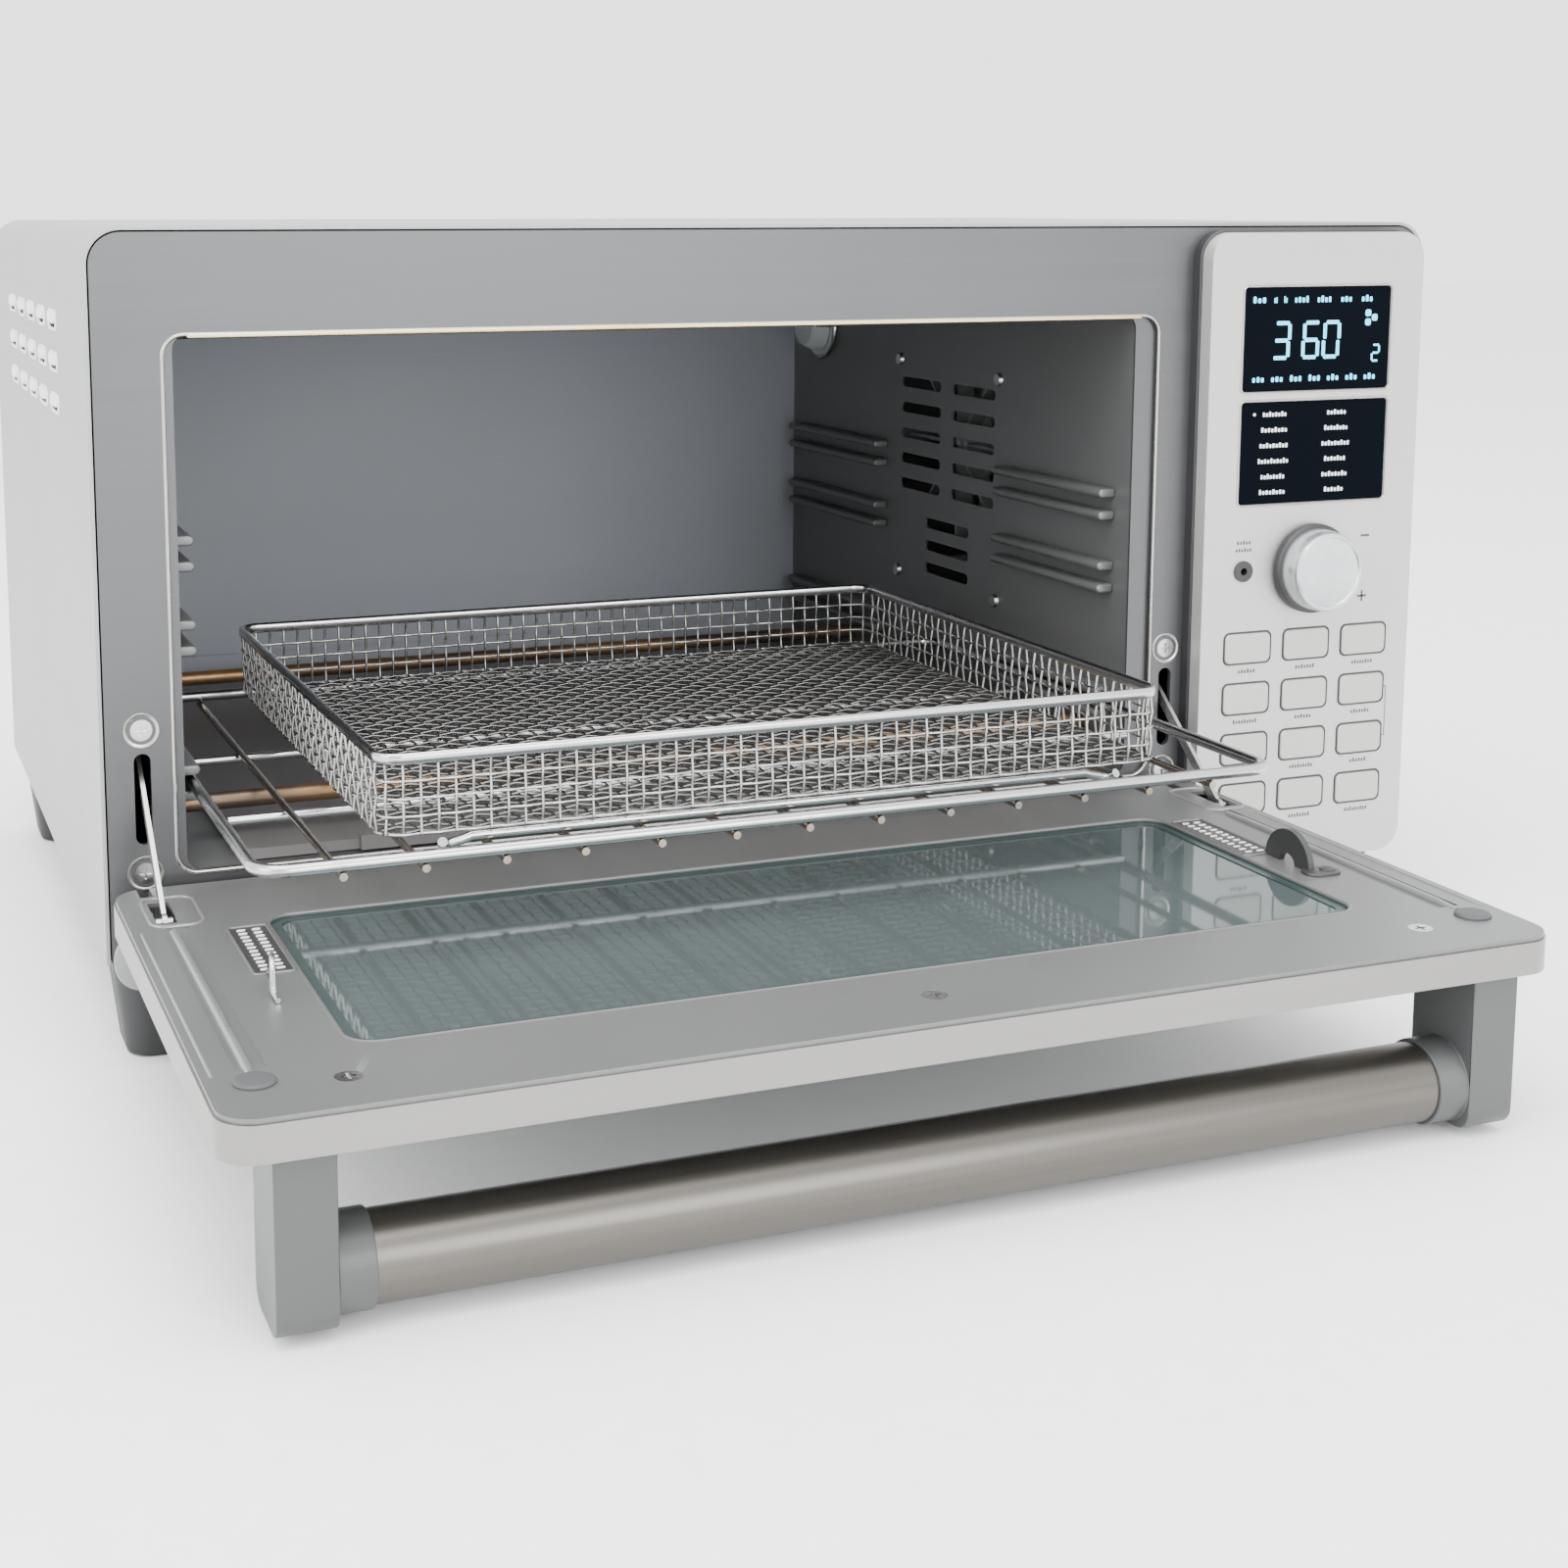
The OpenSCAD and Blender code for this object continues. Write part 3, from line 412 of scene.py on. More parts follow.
@dataclass(frozen=True)
class Palette:
    """Every finish of the oven."""

    # The shell's finish also dresses the pale patch of painted highlight on the front frame's lower left
    # corner.
    shell: Finish = Brushed("shell_brushed", (0.31, 0.325, 0.31), 0.42, 0.4, "shell_steel",
                            Grain.ALONG_Y, 0.06, 0.05)
    frame: Finish = Brushed("frame_brushed", (0.105, 0.106, 0.110), 0.36, 0.7, "frame_steel",
                            Grain.ALONG_X, 0.14, 0.06)
    panel: Finish = Brushed("panel_brushed", (0.47, 0.465, 0.455), 0.38, 0.5, "panel_steel",
                            Grain.ALONG_X, 0.09, 0.05)
    lip: Finish = Plated("lip_bright", (0.42, 0.41, 0.385), 0.24, 1.0, "bright_steel")
    zinc: Finish = Brushed("zinc_plain", (0.32, 0.325, 0.33), 0.45, 0.7, "zinc_sheet",
                           Grain.NONE, 0.10, 0.08)
    liner: Finish = Coated("liner_coat", (0.145, 0.148, 0.147), 0.36, 0.45, "liner")
    liner_rear: Finish = Coated("liner_rear_coat", (0.275, 0.292, 0.32), 0.5, 0.1, "liner_rear")
    chrome: Finish = Plated("wire_bright", (0.52, 0.52, 0.525), 0.16, 1.0, "bright_steel")
    sheath: Finish = BandedTint("sheath_tinted", (0.10, 0.08, 0.065), 0.42, 0.8, "element_sheath")
    ceramic: Finish = Moulded("bush_ceramic", (0.80, 0.78, 0.72), 0.7, 0.0, "ceramic_white")
    lamp: Finish = Pane("lamp_clear", (0.86, 0.90, 0.92), 0.05, 0.0, "lamp_glass", 0.45)
    window: Finish = Pane("window_tinted", (0.125, 0.155, 0.157), 0.03, 0.55, "window_glass", 0.92, 0.03)
    digit: Finish = Lit("digit_glow", (0.10, 0.55, 0.80), 0.4, 0.0, "display_glass", 1.5)
    mark: Finish = Lit("mark_pale", (0.62, 0.66, 0.68), 0.4, 0.0, "display_glass", 0.9)
    board: Finish = Moulded("board_green", (0.03, 0.14, 0.07), 0.5, 0.0, "board")
    # Black plastic; also dresses the painted shade round the panel's foot, round the keys and at the
    # knob's base.
    black: Finish = Moulded("plastic_black", (0.02, 0.02, 0.022), 0.45, 0.0, "black_plastic")
    grey: Finish = Moulded("plastic_grey", (0.016, 0.0165, 0.017), 0.55, 0.0, "grey_plastic")
    key: Finish = Brushed("key_satin", (0.43, 0.425, 0.405), 0.36, 0.55, "key_cap",
                          Grain.ALONG_X, 0.08, 0.04)
    knob: Finish = Brushed("knob_turned", (0.55, 0.57, 0.58), 0.24, 0.8, "knob_skin",
                           Grain.NONE, 0.22, 0.05)
    door: Finish = Brushed("door_brushed", (0.255, 0.25, 0.236), 0.33, 0.8, "door_shell",
                           Grain.ALONG_X, 0.14, 0.05)
    door_liner: Finish = Coated("door_liner_coat", (0.150, 0.152, 0.151), 0.38, 0.45, "door_liner",
                                0.15, 0.10)
    # Lighter copy of the door liner's coat for its ribs: painted highlight.
    rib_highlight: Finish = Coated("rib_coat", (0.25, 0.253, 0.252), 0.3, 0.5, "door_liner", 0.15, 0.10)
    # Dark teal band round the door glass: painted shade of the window recess's wall.
    bezel: Finish = Moulded("bezel_dark", (0.02, 0.035, 0.035), 0.25, 0.0, "seal", 0.1)
    seal: Finish = Moulded("seal_black", (0.02, 0.02, 0.02), 0.6, 0.0, "seal")
    bumper: Finish = Moulded("bumper_soft", (0.05, 0.051, 0.054), 0.6, 0.0, "bumper")
    post: Finish = Coated("post_silver", (0.066, 0.069, 0.069), 0.40, 0.2, "post_metal", 0.2, 0.08)
    bar: Finish = Brushed("bar_brushed", (0.118, 0.110, 0.099), 0.30, 0.9, "bar_steel",
                          Grain.ALONG_X, 0.18, 0.05)
    dark: Finish = Coated("hook_dark", (0.05, 0.05, 0.05), 0.4, 0.5, "dark_steel")
    strap: Finish = Brushed("strap_bright", (0.42, 0.42, 0.41), 0.25, 0.9, "arm_steel",
                            Grain.ALONG_Y, 0.06, 0.04)
    weave: Finish = Plated("weave_wire", (0.46, 0.455, 0.44), 0.26, 1.0, "wire_mesh")
    # Darker copy of the weave for the basket floor: painted shade inside the basket.
    weave_shaded: Finish = Plated("weave_floor", (0.20, 0.197, 0.19), 0.3, 1.0, "wire_mesh")
    # Brownish banded tone on the rack wires: painted reflection.
    rack_wire_reflection: Finish = BandedTint("wire_toned", (0.34, 0.33, 0.32), 0.22, 1.0, "bright_steel",
                               (0.46, 0.38, 0.30))
    tray: Finish = Coated("tray_coat", (0.035, 0.033, 0.03), 0.35, 0.3, "tray_coat")
    # Pale rims and hoods of the side vents: painted glint, the light caught by the pressed vents.
    rim: Finish = Coated("vent_rim_pale", (0.86, 0.87, 0.86), 0.4, 0.1, "shell_steel")
    film: Finish = Pane("film_dark", (0.003, 0.004, 0.006), 0.35, 0.0, "display_glass", 1.0, 0.02, 0.0)
    # Golden strip on the mouth's top edge: painted highlight.
    edge_glint: Finish = BandedTint("edge_gold", (0.62, 0.48, 0.24), 0.3, 0.9, "element_sheath",
                              (0.80, 0.70, 0.45))
    legend: Finish = Moulded("legend_ink", (0.06, 0.06, 0.06), 0.6, 0.0, "black_plastic", 0.05)


# --------------------------------------------------------------- mesh helpers


class Plane(Enum):
    """Where a flat outline lies; its value holds the U, V and outward axes."""

    FRONT = ((1, 0, 0), (0, 0, 1), (0, -1, 0))
    TOP = ((1, 0, 0), (0, 1, 0), (0, 0, 1))
    RIGHT = ((0, 1, 0), (0, 0, 1), (1, 0, 0))

    def place(self, u: float, v: float, d: float) -> Vector:
        """Turns outline millimetres into a point in metres."""
        a, b, c = (Vector(x) for x in self.value)
        return (a * u + b * v + c * d) * MM


def mean_width(mesh: Mesh, face: bpy.types.MeshPolygon) -> float:
    """Twice a face's area over half its outline's length.

    Args:
        mesh: the mesh.
        face: one of its faces.

    Returns:
        The mean width, in the mesh's own units.
    """
    points = [mesh.vertices[i].co for i in face.vertices]
    around = sum((a - b).length for a, b in zip(points, points[1:] + points[:1]))
    return 2.0 * face.area / max(around, 1e-9)


def add_mesh(name: str, mesh: Mesh, finish: Finish | None, body: str, sharp: float = 40.0,
             flat: float = 0.0) -> bpy.types.Object:
    """Links a mesh as a finished piece that rides on a body.

    Args:
        name: the piece's name.
        mesh: its mesh, placed in the frame.
        finish: the finish; None keeps the materials that the mesh has.
        body: the CAD body it rides on.
        sharp: the angle in degrees past which an edge stays crisp.
        flat: mean width in millimetres past which a face is shaded flat; 0 for none.

    Returns:
        The object.
    """
    piece = bpy.data.objects.new(name, mesh)
    bpy.context.scene.collection.objects.link(piece)
    if finish is not None:
        mesh.materials.clear()
        mesh.materials.append(finish.material())
    mesh.shade_smooth()
    mesh.set_sharp_from_angle(angle=math.radians(sharp))
    if flat:
        for face in mesh.polygons:
            face.use_smooth = mean_width(mesh, face) < flat * MM
    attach(piece, body)
    log.info("%s: %d faces on %s", name, len(mesh.polygons), body)
    return piece


def add_shape(name: str, bm: BMesh, finish: Finish, body: str, sharp: float = 40.0) -> bpy.types.Object:
    """Ends a bmesh with its faces outward and adds it as a finished piece.

    Args:
        name: the piece's name.
        bm: the closed shapes; it is freed.
        finish: the finish.
        body: the CAD body it rides on.
        sharp: the angle in degrees past which an edge stays crisp.

    Returns:
        The object.
    """
    bmesh.ops.remove_doubles(bm, verts=bm.verts, dist=1e-7)
    bmesh.ops.recalc_face_normals(bm, faces=bm.faces)
    return add_mesh(name, ended(bm, name), finish, body, sharp)


def ended(bm: BMesh, name: str) -> Mesh:
    """Turns a bmesh into a mesh and frees it.

    Args:
        bm: the shapes.
        name: the mesh's name.

    Returns:
        The new mesh.
    """
    mesh = bpy.data.meshes.new(name)
    bm.to_mesh(mesh)
    bm.free()
    return mesh


def grown(box: Box, by: float) -> Box:
    """A box made larger on every side, or smaller for a negative amount."""
    return (box[0] - by, box[1] + by, box[2] - by, box[3] + by)


def centred(u: float, v: float, half_u: float, half_v: float) -> Box:
    """A box round a centre."""
    return (u - half_u, u + half_u, v - half_v, v + half_v)


def rounded_outline(box: Box, r: float, steps: int = 8) -> list[Pair]:
    """Points round a rectangle with round corners, anticlockwise.

    Args:
        box: the rectangle.
        r: corner radius, held within half the rectangle.
        steps: points per corner, less one.

    Returns:
        The points, from the upper right corner on.
    """
    u0, u1, v0, v1 = box
    r = max(0.01, min(r, (u1 - u0) / 2 - 0.01, (v1 - v0) / 2 - 0.01))
    points = []
    for i, (cu, cv) in enumerate(((u1 - r, v1 - r), (u0 + r, v1 - r), (u0 + r, v0 + r), (u1 - r, v0 + r))):
        for k in range(steps + 1):
            a = math.pi / 2 * (i + k / steps)
            points.append((cu + r * math.cos(a), cv + r * math.sin(a)))
    return points


def stack(bm: BMesh, plane: Plane, rings: Sequence[tuple[Outline, float]]) -> None:
    """Skins a closed solid over outlines that have equal point counts.

    Args:
        bm: the mesh that takes the solid.
        plane: the plane of the outlines.
        rings: (outline, depth) pairs from one cap to the other.
    """
    loops = [[bm.verts.new(plane.place(u, v, d)) for u, v in outline] for outline, d in rings]
    for low, high in zip(loops, loops[1:]):
        n = len(low)
        for i in range(n):
            bm.faces.new((low[i], low[(i + 1) % n], high[(i + 1) % n], high[i]))
    bm.faces.new(loops[0][::-1])
    bm.faces.new(loops[-1])


def pillow(bm: BMesh, plane: Plane, box: Box, r: float, depth: Pair, soft: float, steps: int = 8) -> None:
    """Adds a rounded plate whose outer edge is softened.

    Args:
        bm: the mesh that takes it.
        plane: its plane.
        box: its outer size.
        r: corner radius.
        depth: inner and outer depth.
        soft: radius of the softened edge.
        steps: points per corner.
    """
    rings = [(rounded_outline(box, r, steps), depth[0])]
    sign = 1.0 if depth[1] > depth[0] else -1.0
    for a in np.linspace(0, math.pi / 2, 5):
        inset = soft * (1 - math.cos(a))
        outline = rounded_outline(grown(box, -inset), max(r - inset, 0.05), steps)
        rings.append((outline, depth[1] - sign * soft * (1 - math.sin(a))))
    stack(bm, plane, rings)


def softened_copy(node: str, width: float, angle: float, segments: int) -> Mesh:
    """A copy of a CAD node with its crisp edges rolled over.

    Args:
        node: the CAD node.
        width: the roll's width in millimetres.
        angle: edges past this angle in degrees are rolled.
        segments: faces across the roll.

    Returns:
        The new mesh.
    """
    bm = bmesh.new()
    bm.from_mesh(frame["nodes"][node].data)
    bmesh.ops.remove_doubles(bm, verts=bm.verts, dist=2e-6)
    bmesh.ops.dissolve_limit(bm, angle_limit=math.radians(1.0), verts=bm.verts, edges=bm.edges)
    holder = bpy.data.objects.new(node + "_holder", ended(bm, node + "_soft"))
    bpy.context.scene.collection.objects.link(holder)
    roll = holder.modifiers.new("roll", "BEVEL")
    roll.width = width * MM
    roll.segments = segments
    roll.limit_method = "ANGLE"
    roll.angle_limit = math.radians(angle)
    roll.use_clamp_overlap = True
    return applied(holder)


def applied(holder: bpy.types.Object) -> Mesh:
    """The plain mesh that a holder's modifiers make; the holder is removed.

    Args:
        holder: an object with modifiers.

    Returns:
        The new mesh.
    """
    made = bpy.data.meshes.new_from_object(holder.evaluated_get(bpy.context.evaluated_depsgraph_get()))
    bpy.data.objects.remove(holder)
    return made


def sweep_loop(bm: BMesh, plane: Plane, outline: Outline, depth: float, profile: Outline) -> None:
    """Sweeps a closed profile round a closed flat outline.

    Args:
        bm: the mesh that takes it.
        plane: the outline's plane.
        outline: the path, anticlockwise.
        depth: the path's depth.
        profile: (outward, deeper) offsets, closed.
    """
    n = len(outline)
    rows = []
    for i, (u, v) in enumerate(outline):
        pu, pv = outline[i - 1]
        nu, nv = outline[(i + 1) % n]
        tu, tv = nu - pu, nv - pv
        size = math.hypot(tu, tv) or 1.0
        ou, ov = tv / size, -tu / size
        rows.append([bm.verts.new(plane.place(u + ou * a, v + ov * a, depth + b)) for a, b in profile])
    m = len(profile)
    for i in range(n):
        for k in range(m):
            a, b = rows[i], rows[(i + 1) % n]
            bm.faces.new((a[k], a[(k + 1) % m], b[(k + 1) % m], b[k]))


def circle(r: float, sides: int, u: float = 0.0, v: float = 0.0) -> list[Pair]:
    """Points round a circle, anticlockwise."""
    return [(u + r * math.cos(TURN * k / sides), v + r * math.sin(TURN * k / sides)) for k in range(sides)]


def rod(bm: BMesh, points: Sequence[Point], r: float, sides: int = 10) -> None:
    """Adds round wire along a path, with closed ends.

    Args:
        bm: the mesh that takes it.
        points: the path in millimetres.
        r: wire radius.
        sides: faces round the wire.
    """
    path = [Vector(p) * MM for p in points]
    normal = None
    rows = []
    for i, p in enumerate(path):
        t = (path[min(i + 1, len(path) - 1)] - path[max(i - 1, 0)]).normalized()
        if normal is None:
            normal = t.orthogonal().normalized()
        normal = (normal - t * normal.dot(t)).normalized()
        side = t.cross(normal)
        rows.append([bm.verts.new(p + (normal * a + side * b) * MM) for a, b in circle(r, sides)])
    for low, high in zip(rows, rows[1:]):
        for k in range(sides):
            bm.faces.new((low[k], low[(k + 1) % sides], high[(k + 1) % sides], high[k]))
    bm.faces.new(rows[0][::-1])
    bm.faces.new(rows[-1])


def turned(bm: BMesh, plane: Plane, centre: Pair, profile: Outline, sides: int) -> None:
    """Adds a turned solid: (radius, depth) rings about an outward axis."""
    stack(bm, plane, [(circle(r, sides, *centre), depth) for r, depth in profile])


def dress(finish: Finish, *nodes: str) -> None:
    """Gives CAD nodes a finish.

    Args:
        finish: the finish.
        nodes: the nodes' names.
    """
    for node in nodes:
        data = frame["nodes"][node].data
        if not data.materials:
            data.materials.append(finish.material())
        for slot in frame["nodes"][node].material_slots:
            slot.material = finish.material()


class Span:
    """A CAD node's box in millimetres."""

    def __init__(self, node: str) -> None:
        """Reads the node's box."""
        low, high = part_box(node)
        self.x0, self.y0, self.z0 = (c / MM for c in low)
        self.x1, self.y1, self.z1 = (c / MM for c in high)

    @property
    def cx(self) -> float:
        """Middle in X."""
        return (self.x0 + self.x1) / 2

    @property
    def cy(self) -> float:
        """Middle in Y."""
        return (self.y0 + self.y1) / 2

    @property
    def cz(self) -> float:
        """Middle in Z."""
        return (self.z0 + self.z1) / 2

    @property
    def front(self) -> Box:
        """The box as seen from the front."""
        return (self.x0, self.x1, self.z0, self.z1)

    @property
    def top(self) -> Box:
        """The box as seen from above."""
        return (self.x0, self.x1, self.y0, self.y1)


# ------------------------------------------------------- geometry-node patterns


class Pattern:
    """A geometry-node tree with named inputs, turned into plain meshes."""

    def __init__(self, name: str, sizes: dict[str, float], counts: dict[str, int] | None = None) -> None:
        """Makes the tree's interface: sizes, whole-number counts and a finish.

        Args:
            name: the tree's name.
            sizes: number inputs with their first values.
            counts: whole-number inputs, likewise.
        """
        self.tree = bpy.data.node_groups.new(name, "GeometryNodeTree")
        face = self.tree.interface
        face.new_socket("Geometry", in_out="OUTPUT", socket_type="NodeSocketGeometry")
        for key, value in sizes.items():
            face.new_socket(key, in_out="INPUT", socket_type="NodeSocketFloat").default_value = value
        for key, value in (counts or {}).items():
            face.new_socket(key, in_out="INPUT", socket_type="NodeSocketInt").default_value = value
        face.new_socket("Finish", in_out="INPUT", socket_type="NodeSocketMaterial")
        self.graph = Graph(self.tree)
        self.source = self.graph.add("NodeGroupInput")

    def value(self, key: str) -> Signal:
        """An input as a signal."""
        return Signal(self.graph, self.source.outputs[key])

    def end(self, geometry: object) -> None:
        """Ends the tree with Realize Instances and Set Material."""
        real = self.graph.add("GeometryNodeRealizeInstances", None, {0: geometry})
        dressed = {"Geometry": real, "Material": self.source.outputs["Finish"]}
        last = self.graph.add("GeometryNodeSetMaterial", None, dressed)
        self.graph.add("NodeGroupOutput", None, {0: last})

    def mesh(self, finish: Finish, **values: float) -> Mesh:
        """Runs the tree once.

        Args:
            finish: the finish of the result.
            values: the tree's inputs by name, underscores for spaces.

        Returns:
            A plain mesh in the pattern's own plane.
        """
        holder = bpy.data.objects.new(self.tree.name + "_holder", bpy.data.meshes.new("holder"))
        bpy.context.scene.collection.objects.link(holder)
        shape = holder.modifiers.new("shape", "NODES")
        shape.node_group = self.tree
        wanted = {key.replace("_", " "): value for key, value in values.items()}
        wanted["Finish"] = finish.material()
        for item in self.tree.interface.items_tree:
            if item.in_out == "INPUT" and item.name in wanted:
                shape[item.identifier] = wanted[item.name]
        return applied(holder)


class SlotGrid(Pattern):
    """A grid of rounded bars or rings on the XY plane."""

    def __init__(self) -> None:
        """Builds the tree: one slot outline, raised or rimmed, on a grid of points."""
        sizes = {"Length": 0.01, "Width": 0.004, "Corner": 0.001, "Depth": 0.001, "Rim": 0.0,
                 "Pitch X": 0.02, "Pitch Y": 0.01}
        super().__init__("slot_grid", sizes, {"Columns": 2, "Rows": 2})
        g = self.graph
        quad = g.add("GeometryNodeCurvePrimitiveQuadrilateral", None,
                     {"Width": self.value("Length"), "Height": self.value("Width")})
        soft = g.add("GeometryNodeFilletCurve", {"mode": "POLY"},
                     {"Curve": quad, "Count": 4, "Radius": self.value("Corner"), "Limit Radius": True})
        fill = g.add("GeometryNodeFillCurve", {"mode": "NGONS"}, {"Curve": soft})
        raised = g.add("GeometryNodeExtrudeMesh", {"mode": "FACES"},
                       {"Mesh": fill, "Offset Scale": self.value("Depth"), "Individual": False})
        back = g.add("GeometryNodeFlipFaces", None, {"Mesh": fill})
        solid = g.add("GeometryNodeJoinGeometry")
        g.tree.links.new(raised.outputs[0], solid.inputs[0])
        g.tree.links.new(back.outputs[0], solid.inputs[0])
        ring = g.add("GeometryNodeCurvePrimitiveCircle", None,
                     {"Resolution": 8, "Radius": self.value("Rim")})
        rim = g.add("GeometryNodeCurveToMesh", None,
                    {"Curve": soft, "Profile Curve": ring, "Fill Caps": True})
        pick = g.add("FunctionNodeCompare", {"operation": "GREATER_THAN"},
                     {0: self.value("Rim"), 1: 0.01 * MM})
        either = g.add("GeometryNodeSwitch", {"input_type": "GEOMETRY"}, {0: pick, 1: solid, 2: rim})
        across = self.value("Pitch X") * (self.value("Columns") - 1.0)
        along = self.value("Pitch Y") * (self.value("Rows") - 1.0)
        counts = self.source.outputs
        grid = g.add("GeometryNodeMeshGrid", None,
                     {"Size X": across, "Size Y": along, "Vertices X": counts["Columns"],
                      "Vertices Y": counts["Rows"]})
        self.end(g.add("GeometryNodeInstanceOnPoints", None, {"Points": grid, "Instance": either}))

    def grid(self, finish: Finish, counts: tuple[int, int], pitch: Pair, size: Pair, corner: float,
             **rise: float) -> Mesh:
        """A grid of slots from sizes in millimetres.

        Args:
            finish: its finish.
            counts: columns and rows.
            pitch: spacing along and across.
            size: length and width of a slot.
            corner: a slot's corner radius.
            rise: Depth for raised bars, or Rim for rings.

        Returns:
            A plain mesh on the XY plane.
        """
        sizes = {key: value * MM for key, value in rise.items()}
        return self.mesh(finish, Length=size[0] * MM, Width=size[1] * MM, Corner=corner * MM,
                         Pitch_X=pitch[0] * MM, Pitch_Y=pitch[1] * MM, Columns=counts[0],
                         Rows=counts[1], **sizes)


class Weave(Pattern):
    """Crimped wires woven over a rectangle that starts at the plane's origin."""

    def __init__(self) -> None:
        """Builds the tree: lines both ways, crimped by their place, then rounded."""
        sizes = {"Width": 0.1, "Height": 0.1, "Pitch": 0.005, "Crimp": 0.0005, "Wire": 0.0005}
        super().__init__("woven_wire", sizes)
        g = self.graph
        width, height, pitch = self.value("Width"), self.value("Height"), self.value("Pitch")
        both = g.add("GeometryNodeJoinGeometry")
        for flat in (True, False):
            run, cross = (width, height) if flat else (height, width)
            end = g.add("ShaderNodeCombineXYZ", None, {0 if flat else 1: run})
            line = g.add("GeometryNodeCurvePrimitiveLine", None, {"End": end})
            steps = run / pitch * 2.0 + 1.4
            wire = g.add("GeometryNodeResampleCurve", None, {"Curve": line, "Count": steps})
            rows = cross / pitch + 1.4
            step = g.add("ShaderNodeCombineXYZ", None, {1 if flat else 0: pitch})
            points = g.add("GeometryNodeMeshLine", None, {"Count": rows, "Offset": step})
            laid = g.add("GeometryNodeInstanceOnPoints", None, {"Points": points, "Instance": wire})
            real = g.add("GeometryNodeRealizeInstances", None, {0: laid})
            place = g.add("ShaderNodeSeparateXYZ", None, {0: g.add("GeometryNodeInputPosition")})
            phases = [g.signal(place, axis) / pitch * math.pi for axis in (0, 1)]
            wave = phases[0].cosine() * phases[1].cosine()
            lift = wave * self.value("Crimp") * (1.0 if flat else -0.9)
            shift = g.add("ShaderNodeCombineXYZ", None, {2: lift})
            moved = g.add("GeometryNodeSetPosition", None, {"Geometry": real, "Offset": shift})
            g.tree.links.new(moved.outputs[0], both.inputs[0])
        ring = g.add("GeometryNodeCurvePrimitiveCircle", None,
                     {"Resolution": 5, "Radius": self.value("Wire")})
        self.end(g.add("GeometryNodeCurveToMesh", None,
                       {"Curve": both, "Profile Curve": ring, "Fill Caps": True}))


def remap(mesh: Mesh, rule: Callable[[np.ndarray], np.ndarray]) -> Mesh:
    """Moves every vertex of a mesh by a rule on an (n, 3) array of metres.

    Args:
        mesh: the mesh, changed in place.
        rule: takes the old places and returns the new ones.

    Returns:
        The same mesh.
    """
    flat = np.zeros(len(mesh.vertices) * 3, np.float32)
    mesh.vertices.foreach_get("co", flat)
    mesh.vertices.foreach_set("co", rule(flat.reshape(-1, 3).astype(float)).astype(np.float32).ravel())
    mesh.update()
    return mesh


def joined(name: str, meshes: Sequence[Mesh]) -> Mesh:
    """Joins meshes of one finish into one, and keeps that finish.

    Args:
        name: the new mesh's name.
        meshes: the meshes.

    Returns:
        The joined mesh.
    """
    bm = bmesh.new()
    for mesh in meshes:
        bm.from_mesh(mesh)
    made = ended(bm, name)
    made.materials.append(meshes[0].materials[0])
    return made


# --------------------------------------------------------------- sub-assemblies

PIN_TO_FACE = 10.5  # from the hinge pins' axis to the front frame's face
SEGMENTS = {"0": "abcdef", "2": "abged", "3": "abgcd", "6": "acdefg"}  # strokes of each figure


def frame_face() -> float:
    """Outward depth of the front frame's face."""
    return -(Span("hinge_pins").cy + PIN_TO_FACE)


